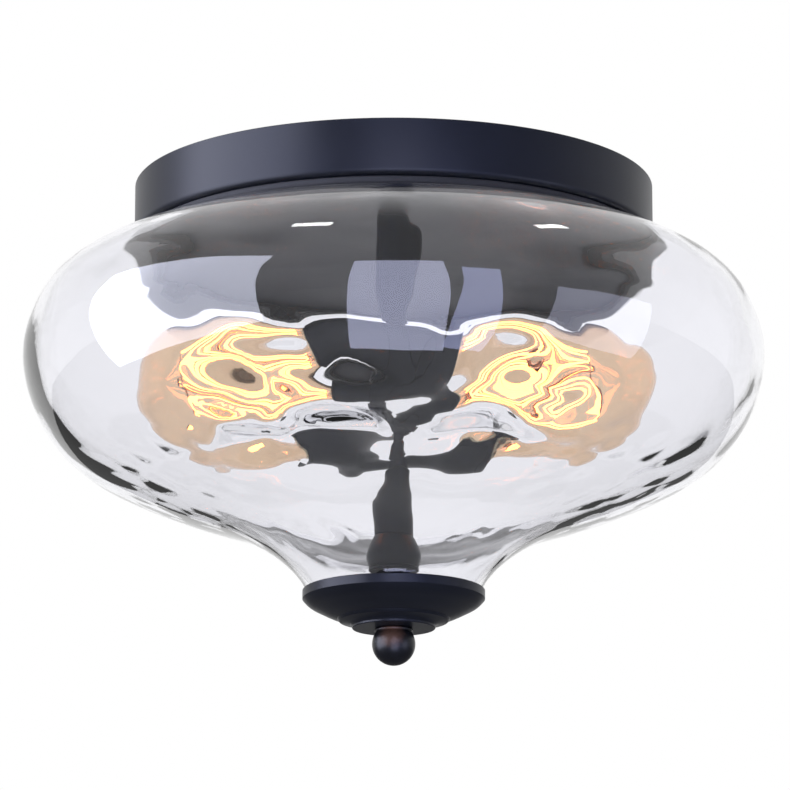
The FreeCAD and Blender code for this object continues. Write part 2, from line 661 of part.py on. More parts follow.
def glass_shade():
    """Blown glass bowl: wide shoulder, round belly and a flared neck."""
    outer = shade_outline()
    inner = inset(outer, SHADE_WALL)
    inner[0] = (outer[0][0] - SHADE_WALL, SHADE_TOP_Z)
    inner.insert(1, (outer[0][0] - SHADE_WALL * 0.55, SHADE_TOP_Z - SHADE_WALL * 1.15))
    inner[-1] = (outer[-1][0] - SHADE_WALL, SHADE_FOOT_Z)
    return turned([curve(outer), line(outer[-1], inner[-1]), curve(inner),
                   line(inner[0], outer[0])])


# ------------------------------------------------------------ cap and finial
def cap_outline():
    """(r, z) stations of the dished cap's outside, rim to plate."""
    band = CAP_RIM_TOP_Z - CAP_RIM_HEIGHT
    drop = band - CAP_FLOOR_Z
    width = CAP_RIM_RADIUS - CAP_STEP_RADIUS
    plate = CAP_PLATE_RADIUS
    return {
        "band": (CAP_RIM_RADIUS, band),
        "turn": (CAP_RIM_RADIUS - width * 0.14, band - drop * 0.17),
        "dish": (CAP_RIM_RADIUS - width * 0.42, band - drop * 0.36),
        "slope": (CAP_RIM_RADIUS - width * 0.72, band - drop * 0.53),
        "step": (CAP_STEP_RADIUS, band - drop * 0.66),
        "tread": (CAP_STEP_RADIUS - CAP_SHEET, band - drop * 0.75),
        "ledge": (plate + CAP_SHEET, band - drop * 0.84),
        "plate": (plate, band - drop * 0.90),
    }


def bottom_cap():
    """Stamped cap that carries the foot of the glass: rim, dish, two steps."""
    s = cap_outline()
    t = CAP_SHEET
    floor = CAP_FLOOR_Z
    rim_in = CAP_RIM_RADIUS - t
    hole = PIPE_RADIUS + CLEAR
    up = {name: (r - t * 0.55, z + t) for name, (r, z) in s.items()}
    up["band"] = (rim_in, s["band"][1])
    edges = [
        line((rim_in, CAP_RIM_TOP_Z), (CAP_RIM_RADIUS, CAP_RIM_TOP_Z)),
        line((CAP_RIM_RADIUS, CAP_RIM_TOP_Z), s["band"]),
        arc(s["band"], s["turn"], s["dish"]),
        arc(s["dish"], s["slope"], s["step"]),
        line(s["step"], s["tread"]),
        line(s["tread"], s["ledge"]),
        line(s["ledge"], s["plate"]),
        line(s["plate"], (CAP_PLATE_RADIUS, floor)),
        line((CAP_PLATE_RADIUS, floor), (hole, floor)),
        line((hole, floor), (hole, floor + t)),
        line((hole, floor + t), (CAP_PLATE_RADIUS - t, floor + t)),
        line((CAP_PLATE_RADIUS - t, floor + t), up["plate"]),
        line(up["plate"], up["ledge"]),
        line(up["ledge"], up["tread"]),
        line(up["tread"], up["step"]),
        arc(up["step"], up["slope"], up["dish"]),
        arc(up["dish"], up["turn"], up["band"]),
        line(up["band"], (rim_in, CAP_RIM_TOP_Z)),
    ]
    return turned(edges)


def neck_gasket():
    """Rubber ring in the cap under the foot of the glass."""
    s = cap_outline()
    t = CAP_SHEET + FACE_GAP
    outer = CAP_RIM_RADIUS - t - FACE_GAP
    top = SHADE_FOOT_Z - FACE_GAP
    turn = (s["turn"][0] - t * 0.8, s["turn"][1] + t * 1.15)
    dish = (s["dish"][0] - t * 0.4, s["dish"][1] + t * 1.15)
    share = min((top - turn[1]) / (s["band"][1] - turn[1]), 1.0)
    corner = (turn[0] + (outer - turn[0]) * share, top)
    return turned(polygon([(dish[0], top), dish, turn, corner]))


def finial():
    """Ball finial: collar, waist and ball, bored and threaded from above."""
    top = CAP_FLOOR_Z - FACE_GAP
    centre = CAP_FLOOR_Z - FINIAL_BALL_DROP
    collar = FINIAL_COLLAR_RADIUS
    foot = top - FINIAL_COLLAR_HEIGHT
    waist = collar * 0.86
    reach = math.sqrt(FINIAL_BALL_RADIUS ** 2 - waist ** 2)
    bore = PIPE_RADIUS + RUNNING
    edges = [
        line((bore, top), (collar, top)),
        line((collar, top), (collar, foot + FINIAL_COLLAR_HEIGHT * 0.4)),
        line((collar, foot + FINIAL_COLLAR_HEIGHT * 0.4), (waist, centre + reach)),
        arc((waist, centre + reach), (FINIAL_BALL_RADIUS, centre),
            (0, centre - FINIAL_BALL_RADIUS)),
        line((0, centre - FINIAL_BALL_RADIUS), (0, top - FINIAL_BORE_DEPTH)),
        line((0, top - FINIAL_BORE_DEPTH), (bore, top - FINIAL_BORE_DEPTH)),
        line((bore, top - FINIAL_BORE_DEPTH), (bore, top)),
    ]
    return turned(edges)


# ------------------------------------------------------------------ assembly
SINGLE_PIECES = {
    "crossbar": crossbar,
    "ground_screw": ground_screw,
    "strap_nut": strap_nut,
    "supply_pipe": supply_pipe,
    "pan_nut": pan_nut,
    "pan_washer": pan_washer,
    "ceiling_pan": ceiling_pan,
    "shade_gasket": shade_gasket,
    "upper_stem": upper_stem,
    "hub": hub,
    "socket_screws": socket_screws,
    "lower_rod": lower_rod,
    "lower_stem": lower_stem,
    "bell": bell,
    "bell_nut": bell_nut,
    "glass_shade": glass_shade,
    "neck_gasket": neck_gasket,
    "bottom_cap": bottom_cap,
    "finial": finial,
}

PAIRED_PIECES = {
    "socket_cover": socket_cover,
    "porcelain": porcelain,
    "screw_shell": screw_shell,
    "centre_contact": centre_contact,
    "lamp_glass": lamp_glass,
    "lamp_cap": lamp_cap,
    "lamp_insulator": lamp_insulator,
    "lamp_contact": lamp_contact,
    "lamp_stem": lamp_stem,
    "filament": filament,
    "filament_supports": filament_supports,
}


def build():
    """Every node of the lantern by name."""
    nodes = {name: make() for name, make in SINGLE_PIECES.items()}
    for name, make in PAIRED_PIECES.items():
        right = make()
        nodes["right_" + name] = right
        nodes["left_" + name] = to_left(right)
    nodes["black_leads"] = leads(-LEAD_OFFSET)
    nodes["white_leads"] = leads(LEAD_OFFSET)
    return nodes


def main():
    os.makedirs("parts", exist_ok=True)
    for name, shape in build().items():
        valid = shape.isValid() and len(shape.Solids) > 0
        print(f"{name:24s} solids {len(shape.Solids)} volume {shape.Volume:10.1f} valid {valid}")
        shape.exportStep(f"parts/{name}.step")


main()
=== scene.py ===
"""Looks of a flush ceiling lantern: rippled glass bowl, dark metalwork and two amber lamps.

The lantern hangs below the ceiling plane z = 0, with its stem on the Z axis and
its two lamps along X.  All lengths are metres.  Pan, foam ring, glass, stem tubes,
bell, cap, finial, socket cups and the lamps' envelopes and filaments are made here,
in place of their CAD nodes; every other part is the CAD's own node and only gets a
finish.
"""

import logging
import math
from dataclasses import dataclass, field
from enum import Enum
from typing import Iterable, Optional, Protocol, Sequence

import bmesh
import bpy
from mathutils import Matrix, Vector, noise


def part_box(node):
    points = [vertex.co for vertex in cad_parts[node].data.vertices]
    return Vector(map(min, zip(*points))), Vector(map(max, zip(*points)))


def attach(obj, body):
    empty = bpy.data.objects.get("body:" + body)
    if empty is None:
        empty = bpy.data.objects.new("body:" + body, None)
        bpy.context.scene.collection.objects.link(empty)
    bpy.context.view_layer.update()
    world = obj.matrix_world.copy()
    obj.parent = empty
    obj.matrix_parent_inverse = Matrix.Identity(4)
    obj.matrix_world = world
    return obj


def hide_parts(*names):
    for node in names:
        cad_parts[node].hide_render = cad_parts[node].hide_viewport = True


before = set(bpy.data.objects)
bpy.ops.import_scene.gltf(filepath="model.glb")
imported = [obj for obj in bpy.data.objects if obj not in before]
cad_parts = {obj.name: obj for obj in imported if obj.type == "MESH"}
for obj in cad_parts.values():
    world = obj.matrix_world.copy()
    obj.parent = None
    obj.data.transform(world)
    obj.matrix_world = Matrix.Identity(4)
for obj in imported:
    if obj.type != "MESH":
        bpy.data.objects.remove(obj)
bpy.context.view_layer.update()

LOG = logging.getLogger("lantern")
MM = 0.001
WELD = 1e-7             # points closer than this are one
ROUNDING = 1e-12        # slack for the rounding of sums
WHITE = (1.0, 1.0, 1.0, 1.0)

Station = tuple[float, float]       # (r, z) of an outline's point
Shares = tuple[float, float]        # a point as shares of a width and of a height
Zone = tuple[float, float]          # where something starts, and where it is full


class Body(str, Enum):
    """The bodies that pieces ride on."""

    FIXTURE = "fixture"
    SHADE = "shade"
    FINIAL = "finial"
    LEFT_LAMP = "left_lamp"
    RIGHT_LAMP = "right_lamp"


class Side(Enum):
    """The two lamps of the cluster, by the sign of X."""

    LEFT = -1
    RIGHT = 1

    @property
    def word(self) -> str:
        """The side's name as nodes spell it."""
        return self.name.lower()

    @property
    def body(self) -> Body:
        """The body that this side's lamp rides on."""
        return Body.LEFT_LAMP if self is Side.LEFT else Body.RIGHT_LAMP


# ------------------------------------------------------------------ materials
def linear(hex_colour: str, alpha: float = 1.0) -> tuple[float, float, float, float]:
    """Turn an sRGB hex colour to linear.

    Args:
        hex_colour: six hex digits, with or without a leading #.
        alpha: fourth channel of the result.

    Returns:
        Linear red, green, blue and alpha.
    """
    digits = hex_colour.lstrip("#")
    values = [int(digits[i:i + 2], 16) / 255 for i in (0, 2, 4)]
    red, green, blue = (
        v / 12.92 if v <= 0.04045 else ((v + 0.055) / 1.055) ** 2.4 for v in values)
    return red, green, blue, alpha


def add_node(tree: bpy.types.NodeTree, kind: str, settings: Optional[dict] = None,
             links: Optional[dict] = None) -> bpy.types.Node:
    """Add one node with its settings and links.

    Args:
        tree: node tree that gets the node.
        kind: Blender's node type.
        settings: attribute names, or input names or numbers, with their values.
        links: input names or numbers with the output sockets that feed them.

    Returns:
        The new node.
    """
    node = tree.nodes.new(kind)
    for key, value in (settings or {}).items():
        if isinstance(key, int) or key in node.inputs:
            node.inputs[key].default_value = value
        else:
            setattr(node, key, value)
    for key, socket in (links or {}).items():
        tree.links.new(socket, node.inputs[key])
    return node


def new_material(name: str) -> tuple[bpy.types.Material, bpy.types.NodeTree, bpy.types.Node]:
    """Make an empty material.

    Args:
        name: the material's name.

    Returns:
        The material, its node tree and its output node.
    """
    material = bpy.data.materials.new(name)
    material.use_nodes = True
    tree = material.node_tree
    tree.nodes.clear()
    output = add_node(tree, "ShaderNodeOutputMaterial")
    return material, tree, output


class Finish(Protocol):
    """Anything that builds a material."""

    def build(self) -> bpy.types.Material:
        """Make the material."""


@dataclass(frozen=True)
class PowderCoat:
    """Satin powder coat on steel: polyester powder, sprayed on and fused in an oven.

    It gives the eye a blue-black satin skin, a little uneven in tone, with a faint
    orange peel.
    """

    name: str = "satin_powder_coat"
    colour: str = "#11141F"
    worn_colour: str = "#191D2B"
    roughness: float = 0.36
    smoother: float = 0.04
    rougher: float = 0.05
    specular: float = 0.16
    peel_mm: float = 1.1
    peel_height: float = 0.03 * MM
    peel_strength: float = 0.35
    mottle_mm: float = 38.0

    def build(self) -> bpy.types.Material:
        """Make the material."""
        material, tree, output = new_material(self.name)
        place = add_node(tree, "ShaderNodeTexCoord").outputs["Object"]
        mottle = add_node(tree, "ShaderNodeTexNoise",
                          {"Scale": 1 / (self.mottle_mm * MM), "Detail": 3.0}, {"Vector": place})
        tone = add_node(tree, "ShaderNodeMix",
                        {"data_type": "RGBA", 6: linear(self.colour), 7: linear(self.worn_colour)},
                        {0: mottle.outputs["Fac"]})
        peel = add_node(tree, "ShaderNodeTexNoise",
                        {"Scale": 1 / (self.peel_mm * MM), "Detail": 1.5}, {"Vector": place})
        gloss = add_node(tree, "ShaderNodeMapRange",
                         {"To Min": self.roughness - self.smoother,
                          "To Max": self.roughness + self.rougher},
                         {"Value": mottle.outputs["Fac"]})
        bump = add_node(tree, "ShaderNodeBump",
                        {"Strength": self.peel_strength, "Distance": self.peel_height},
                        {"Height": peel.outputs["Fac"]})
        shader = add_node(tree, "ShaderNodeBsdfPrincipled", {"Specular IOR Level": self.specular},
                          {"Base Color": tone.outputs[2], "Roughness": gloss.outputs["Result"],
                           "Normal": bump.outputs["Normal"]})
        tree.links.new(shader.outputs[0], output.inputs["Surface"])
        return material


@dataclass(frozen=True)
class EnamelWithPaintedHighlight:
    """Black enamel on turned brass, brushed on and dried, with a brown painted highlight.

    It gives the eye a near-black satin ball with a brown painted highlight, soft at its
    edge, on the ball's front upper side towards the viewer.
    """

    name: str = "black_enamel_painted_highlight"
    colour: str = "#12141D"
    highlight_colour: str = "#6E5148"
    highlight_centre: tuple[float, float, float] = (-0.001, -0.008, -0.204)
    highlight_radius_mm: float = 7.5
    highlight_heart_mm: float = 1.5       # radius in which the painted highlight is strongest
    highlight_uneven_mm: float = 4.0      # how far the patch's edge wanders
    highlight_strength: float = 0.8
    roughness: float = 0.34
    specular: float = 0.2
    grain_mm: float = 2.5
    grain_height: float = 0.03 * MM
    grain_strength: float = 0.25

    def build(self) -> bpy.types.Material:
        """Make the material."""
        material, tree, output = new_material(self.name)
        place = add_node(tree, "ShaderNodeTexCoord").outputs["Object"]
        near = add_node(tree, "ShaderNodeVectorMath",
                        {"operation": "DISTANCE", 1: self.highlight_centre}, {0: place})
        grain = add_node(tree, "ShaderNodeTexNoise",
                         {"Scale": 1 / (self.grain_mm * MM), "Detail": 3.0}, {"Vector": place})
        uneven = add_node(tree, "ShaderNodeMath",
                          {"operation": "MULTIPLY_ADD", 1: self.highlight_uneven_mm * MM,
                           2: -self.highlight_uneven_mm / 2 * MM}, {0: grain.outputs["Fac"]})
        reach = add_node(tree, "ShaderNodeMath", {"operation": "ADD"},
                         {0: near.outputs["Value"], 1: uneven.outputs[0]})
        # A brown painted highlight, strongest round its centre on the ball's front upper side.
        painted_highlight = add_node(tree, "ShaderNodeMapRange",
                       {"interpolation_type": "SMOOTHSTEP", "From Min": self.highlight_radius_mm * MM,
                        "From Max": self.highlight_heart_mm * MM, "To Min": 0.0,
                        "To Max": self.highlight_strength},
                       {"Value": reach.outputs[0]})
        tone = add_node(tree, "ShaderNodeMix",
                        {"data_type": "RGBA", 6: linear(self.colour), 7: linear(self.highlight_colour)},
                        {0: painted_highlight.outputs["Result"]})
        bump = add_node(tree, "ShaderNodeBump",
                        {"Strength": self.grain_strength, "Distance": self.grain_height},
                        {"Height": grain.outputs["Fac"]})
        shader = add_node(tree, "ShaderNodeBsdfPrincipled",
                          {"Roughness": self.roughness, "Specular IOR Level": self.specular},
                          {"Base Color": tone.outputs[2], "Normal": bump.outputs["Normal"]})
        tree.links.new(shader.outputs[0], output.inputs["Surface"])
        return material


@dataclass(frozen=True)
class BlownGlass:
    """Soda-lime glass, blown and fire polished.

    It gives the eye sharp reflections, and a faint tint that deepens with the
    length of the way through the wall.
    """

    name: str
    colour: str
    absorb_colour: str
    absorb_density: float
    roughness: float = 0.0
    ior: float = 1.5

    def build(self) -> bpy.types.Material:
        """Make the material."""
        material, tree, output = new_material(self.name)
        shader = add_node(tree, "ShaderNodeBsdfPrincipled",
                          {"Base Color": linear(self.colour), "Roughness": self.roughness,
                           "IOR": self.ior, "Transmission Weight": 1.0})
        tree.links.new(shader.outputs[0], output.inputs["Surface"])
        if self.absorb_density > 0:
            body = add_node(tree, "ShaderNodeVolumeAbsorption",
                            {"Color": linear(self.absorb_colour), "Density": self.absorb_density})
            tree.links.new(body.outputs[0], output.inputs["Volume"])
        return material


@dataclass(frozen=True)
class Metal:
    """Bare or plated metal, rolled, drawn or turned.

    It gives the eye a metallic gloss that a fine grain breaks up.
    """

    name: str
    colour: str
    roughness: float = 0.3
    grain_mm: float = 0.8
    smoother: float = 0.07
    rougher: float = 0.1
    grain_height: float = 0.02 * MM
    grain_strength: float = 0.3

    def build(self) -> bpy.types.Material:
        """Make the material."""
        material, tree, output = new_material(self.name)
        place = add_node(tree, "ShaderNodeTexCoord").outputs["Object"]
        grain = add_node(tree, "ShaderNodeTexNoise",
                         {"Scale": 1 / (self.grain_mm * MM), "Detail": 3.0}, {"Vector": place})
        gloss = add_node(tree, "ShaderNodeMapRange",
                         {"To Min": self.roughness - self.smoother,
                          "To Max": self.roughness + self.rougher},
                         {"Value": grain.outputs["Fac"]})
        bump = add_node(tree, "ShaderNodeBump",
                        {"Strength": self.grain_strength, "Distance": self.grain_height},
                        {"Height": grain.outputs["Fac"]})
        shader = add_node(tree, "ShaderNodeBsdfPrincipled",
                          {"Base Color": linear(self.colour), "Metallic": 1.0},
                          {"Roughness": gloss.outputs["Result"], "Normal": bump.outputs["Normal"]})
        tree.links.new(shader.outputs[0], output.inputs["Surface"])
        return material


@dataclass(frozen=True)
class ColouredSkin:
    """Opaque coloured stuff: moulded foam and insulation, glazed porcelain, lacquer.

    It gives the eye one even colour with a fine unevenness; roughness tells the
    glazed from the matte.
    """

    name: str
    colour: str
    shade: str
    roughness: float
    grain_mm: float = 1.2
    bump_mm: float = 0.04
    bump_strength: float = 0.4

    def build(self) -> bpy.types.Material:
        """Make the material."""
        material, tree, output = new_material(self.name)
        place = add_node(tree, "ShaderNodeTexCoord").outputs["Object"]
        grain = add_node(tree, "ShaderNodeTexNoise",
                         {"Scale": 1 / (self.grain_mm * MM), "Detail": 2.0}, {"Vector": place})
        tone = add_node(tree, "ShaderNodeMix",
                        {"data_type": "RGBA", 6: linear(self.colour), 7: linear(self.shade)},
                        {0: grain.outputs["Fac"]})
        bump = add_node(tree, "ShaderNodeBump",
                        {"Strength": self.bump_strength, "Distance": self.bump_mm * MM},
                        {"Height": grain.outputs["Fac"]})
        shader = add_node(tree, "ShaderNodeBsdfPrincipled", {"Roughness": self.roughness},
                          {"Base Color": tone.outputs[2], "Normal": bump.outputs["Normal"]})
        tree.links.new(shader.outputs[0], output.inputs["Surface"])
        return material


@dataclass(frozen=True)
class GlowingWire:
    """Drawn filament wire at yellow heat: it gives the eye bright amber lines."""

    name: str = "glowing_filament"
    colour: str = "#FF9450"
    roughness: float = 0.6
    strength: float = 12.0

    def build(self) -> bpy.types.Material:
        """Make the material."""
        material, tree, output = new_material(self.name)
        shader = add_node(tree, "ShaderNodeBsdfPrincipled",
                          {"Base Color": linear(self.colour), "Roughness": self.roughness,
                           "Emission Color": linear(self.colour),
                           "Emission Strength": self.strength})
        tree.links.new(shader.outputs[0], output.inputs["Surface"])
        return material


def made(finish: Finish) -> bpy.types.Material:
    """A dataclass field that holds the finish's material, built with its owner."""
    return field(default_factory=finish.build)


@dataclass
class Finishes:
    """Every finish of the lantern, built once."""

    coat: bpy.types.Material = made(PowderCoat())
    # Black enamel of the finial, with a brown painted highlight.
    enamel_painted_highlight: bpy.types.Material = made(EnamelWithPaintedHighlight())
    # Clear soda-lime glass, blown: faintly violet where the wall is thick.
    shade_glass: bpy.types.Material = made(
        BlownGlass("clear_water_glass", "#F9F9FC", "#D6D8E6", 5.0))
    # Amber soda-lime glass, blown thin: a warm tan film with a very slight haze.
    lamp_glass: bpy.types.Material = made(
        BlownGlass("amber_lamp_glass", "#F6EFE2", "#FFCF9A", 300.0, 0.04))
    # Pressed lead glass of the lamp's stem: clear, with bright edges.
    stem_glass: bpy.types.Material = made(
        BlownGlass("lamp_stem_glass", "#F4F1EA", "#FFFFFF", 0.0))
    # Black glass, poured into the lamp's cap: glossy and near black.
    insulating_glass: bpy.types.Material = made(
        ColouredSkin("black_insulating_glass", "#131018", "#1C1622", 0.12, 3.0, 0.01))
    # Pressed or turned steel, zinc plated: pale grey with a soft gloss.
    zinc: bpy.types.Material = made(Metal("zinc_plated_steel", "#A9ACB2", 0.34))
    # Rolled brass sheet: yellow metal.
    brass: bpy.types.Material = made(Metal("rolled_brass", "#C9A04E", 0.28))
    # Rolled brass, nickel plated: warm grey metal.
    nickel: bpy.types.Material = made(Metal("nickelled_brass", "#B9AE98", 0.25))
    # Tin solder, set from a drop: dull grey and lumpy.
    solder: bpy.types.Material = made(Metal("tin_solder", "#9A9A9C", 0.42, 1.6))
    # Drawn molybdenum: thin dark grey wire.
    support_wire: bpy.types.Material = made(Metal("molybdenum_wire", "#6E6660", 0.4, 0.5))
    # Steel screw, dipped in green lacquer: the earth's colour.
    green: bpy.types.Material = made(
        ColouredSkin("green_lacquered_steel", "#1F6B36", "#17552B", 0.3, 2.0, 0.01))
    # Closed-cell foam, cut from sheet: matte black with small pores.
    foam: bpy.types.Material = made(
        ColouredSkin("closed_cell_foam", "#17181D", "#22232B", 0.85, 0.9, 0.08))
    # Porcelain, cast and glazed: glossy warm white.
    porcelain: bpy.types.Material = made(
        ColouredSkin("glazed_porcelain", "#E6E3DA", "#DDD9CE", 0.12, 9.0, 0.01))
    # Extruded wire insulation: even, half matte.
    black_insulation: bpy.types.Material = made(
        ColouredSkin("black_wire_insulation", "#141416", "#1B1B1F", 0.45))
    white_insulation: bpy.types.Material = made(
        ColouredSkin("white_wire_insulation", "#DAD9D4", "#CFCEC8", 0.45))
    filament: bpy.types.Material = made(GlowingWire())


# ------------------------------------------------------------------ modelling
def ramp(value: float, zone: Zone) -> float:
    """Share of a zone that a value has passed.

    Args:
        value: the value.
        zone: where the share is 0, and where it is 1.

    Returns:
        The share, held between 0 and 1.
    """
    start, full = zone
    return min(max((value - start) / (full - start), 0.0), 1.0)


def smooth_line(points: Sequence[Station], step: float) -> list[Station]:
    """Run a natural cubic spline through a few points.

    Args:
        points: (r, z) points that the line passes through.
        step: greatest distance between two points of the result.

    Returns:
        Evenly spaced points along the line, ends included.
    """
    knots = [0.0]
    for a, b in zip(points, points[1:]):
        knots.append(knots[-1] + math.dist(a, b))
    bends = [natural_bends(knots, [p[axis] for p in points]) for axis in (0, 1)]
    count = max(2, math.ceil(knots[-1] / step))
    result = []
    for i in range(count + 1):
        along = knots[-1] * i / count
        span = max(j for j in range(len(knots) - 1) if knots[j] <= along + ROUNDING)
        width = knots[span + 1] - knots[span]
        # The cubic between two knots: their values mixed by a and b, plus their bends' part.
        b = (along - knots[span]) / width
        a = 1 - b
        place = []
        for axis in (0, 1):
            low, high = points[span][axis], points[span + 1][axis]
            bend = (a ** 3 - a) * bends[axis][span] + (b ** 3 - b) * bends[axis][span + 1]
            place.append(a * low + b * high + bend * width ** 2 / 6)
        result.append((place[0], place[1]))
    return result


def natural_bends(knots: Sequence[float], values: Sequence[float]) -> list[float]:
    """Solve a natural cubic spline for its second derivatives.

    Args:
        knots: place of each value along the line.
        values: the values to pass through.

    Returns:
        Second derivative at each knot, zero at both ends.
    """
    count = len(knots)
    bends = [0.0] * count
    slopes = [0.0] * count
    # A sweep forward thins the three-banded system out, and one back solves it.
    for i in range(1, count - 1):
        part = (knots[i] - knots[i - 1]) / (knots[i + 1] - knots[i - 1])
        pivot = part * bends[i - 1] + 2
        bends[i] = (part - 1) / pivot
        turn = ((values[i + 1] - values[i]) / (knots[i + 1] - knots[i])
                - (values[i] - values[i - 1]) / (knots[i] - knots[i - 1]))
        slopes[i] = (6 * turn / (knots[i + 1] - knots[i - 1]) - part * slopes[i - 1]) / pivot
    for i in range(count - 2, -1, -1):
        bends[i] = bends[i] * bends[i + 1] + slopes[i]
    return bends


def round_line(centre: Station, radius: float, start: float, end: float,
               count: int) -> list[Station]:
    """Points on a round stretch of an outline.

    Args:
        centre: (r, z) of the circle's centre.
        radius: the circle's radius.
        start: angle of the first point in degrees, 0 towards +r, 90 towards +z.
        end: angle of the last point in degrees.
        count: number of steps.

    Returns:
        The points, ends included.
    """
    angles = [math.radians(start + (end - start) * i / count) for i in range(count + 1)]
    return [(centre[0] + radius * math.cos(a), centre[1] + radius * math.sin(a)) for a in angles]


def spun(outline: Sequence[Station], steps: int, outside: int = 0) -> bmesh.types.BMesh:
    """Spin a closed outline once round Z.

    Args:
        outline: (r, z) points of the outline.
        steps: number of steps round.
        outside: how many points come before the inside of a wall starts; the rest
            are marked in the vertex layer "inside".

    Returns:
        A closed mesh with its faces pointing outwards.
    """
    bm = bmesh.new()
    inside = bm.verts.layers.int.new("inside")
    verts = [bm.verts.new((r, 0, z)) for r, z in outline]
    for vert in verts[outside:]:
        vert[inside] = 1
    edges = [bm.edges.new(pair) for pair in zip(verts, verts[1:] + verts[:1])]
    bmesh.ops.spin(bm, geom=verts + edges, cent=(0, 0, 0), axis=(0, 0, 1),
                   angle=2 * math.pi, steps=steps, use_merge=True, use_duplicate=False)
    bmesh.ops.remove_doubles(bm, verts=bm.verts, dist=WELD)
    bmesh.ops.dissolve_degenerate(bm, edges=bm.edges, dist=WELD)
    bmesh.ops.recalc_face_normals(bm, faces=bm.faces)
    return bm


def lay_lamp(bm: bmesh.types.BMesh, side: Side, height: float) -> None:
    """Lay a mesh that was spun about Z along the lamps' axis.

    Args:
        bm: the mesh, with its +Z pointing out of the socket.
        side: which lamp it belongs to.
        height: z of the lamps' axis.
    """
    turn = Matrix.Rotation(math.pi / 2, 4, "Y")
    if side is Side.LEFT:
        turn = Matrix.Rotation(math.pi, 4, "Z") @ turn
    bmesh.ops.transform(bm, matrix=Matrix.Translation((0, 0, height)) @ turn, verts=bm.verts)


def make_piece(name: str, bm: bmesh.types.BMesh, material: bpy.types.Material, body: Body,
               replaces: Iterable[str], sharp_angle: float = 40.0) -> None:
    """Turn a mesh into a piece of the lantern.

    Args:
        name: the piece's name.
        bm: its mesh, which is freed.
        material: its finish.
        body: the body that it rides on.
        replaces: CAD nodes that it stands for.
        sharp_angle: edges that turn by more than this many degrees stay sharp.
    """
    for edge in bm.edges:
        edge.smooth = edge.calc_face_angle(0) < math.radians(sharp_angle)
    for face in bm.faces:
        face.smooth = True
    mesh = bpy.data.meshes.new(name)
    bm.to_mesh(mesh)
    bm.free()
    mesh.materials.append(material)
    piece = bpy.data.objects.new(name, mesh)
    bpy.context.scene.collection.objects.link(piece)
    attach(piece, body.value)
    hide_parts(*replaces)
    LOG.info("%s: %d faces on %s", name, len(mesh.polygons), body.value)


def dress(node: str, material: bpy.types.Material) -> None:
    """Give a CAD node its finish.

    Args:
        node: the node's name.
        material: the finish for all of its material slots.
    """
    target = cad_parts[node]
    if not target.material_slots:
        target.data.materials.append(material)
    for place in target.material_slots:
        place.material = material
    LOG.info("%s: carried over", node)


# --------------------------------------------------------------- ceiling parts
@dataclass
class CeilingPan:
    """Spun steel pan against the ceiling, with its strap, nuts and gasket."""

    finishes: Finishes
    sheet: float = 1.0 * MM
    corner: float = 3.0 * MM
    lip: float = 0.35 * MM          # rounding of the sheet's upper edge
    bore: float = 5.3 * MM
    steps: int = 160
    outer_steps: int = 8            # round the corner's outside
    inner_steps: int = 6
    gasket_width: float = 6.0 * MM
    gasket_bulge: float = 0.5       # of the gasket's half height
    bulge_steps: int = 6
    gasket_steps: int = 128

    def build(self) -> None:
        """Make the pan and dress what it holds."""
        low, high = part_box("ceiling_pan")
        radius, under = high.x, low.z
        bend = (radius - self.corner, under + self.corner)
        outer = round_line(bend, self.corner, -90, 0, self.outer_steps)
        inner = round_line(bend, self.corner - self.sheet, 0, -90, self.inner_steps)
        outline = [(self.bore, under)] + outer
        outline += [(radius, -self.lip), (radius - self.lip, 0.0),
                    (radius - self.sheet + self.lip / 2, 0.0), (radius - self.sheet, -self.lip)]
        outline += inner + [(self.bore, under + self.sheet)]
        make_piece("pan_shell", spun(outline, self.steps), self.finishes.coat, Body.FIXTURE,
                   ["ceiling_pan"])
        self.gasket()
        for node in ("crossbar", "strap_nut", "supply_pipe", "pan_nut", "pan_washer"):
            dress(node, self.finishes.zinc)
        dress("ground_screw", self.finishes.green)

    def gasket(self) -> None:
        """Make the foam ring, its outside bulging where it is pressed."""
        low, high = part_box("shade_gasket")
        middle = (low.z + high.z) / 2
        half = (high.z - low.z) / 2
        bulge = half * self.gasket_bulge
        face = high.x - bulge
        inner_radius = high.x - self.gasket_width
        outline = [(face + bulge * out, middle + half * up)
                   for out, up in round_line((0, 0), 1, -90, 90, self.bulge_steps)]
        outline += [(inner_radius, high.z), (inner_radius, low.z)]
        make_piece("foam_gasket", spun(outline, self.gasket_steps), self.finishes.foam,
                   Body.FIXTURE, ["shade_gasket"])


# ------------------------------------------------------------------ glass shade
@dataclass(frozen=True)
class Swell:
    """A place where the wall is thicker over an oval patch, like a weak lens.

    turn is the angle round the stem in degrees, 0 at the front and growing to the
    right; the reaches are half the patch's width and height along the glass.
    """

    turn: float
    height: float
    reach_across: float
    reach_down: float
    rise: float

    def share(self, turn: float, radius: float, height: float) -> float:
        """How much of the swell there is at a place.

        Args:
            turn: the place's angle round the stem in degrees.
            radius: its distance from the stem.
            height: its z.

        Returns:
            One in the middle, falling smoothly to zero at the reach.
        """
        across = math.radians((turn - self.turn + 180) % 360 - 180) * radius / self.reach_across
        down = (height - self.height) / self.reach_down
        far = across * across + down * down
        return (1 - far) ** 2 if far < 1 else 0.0


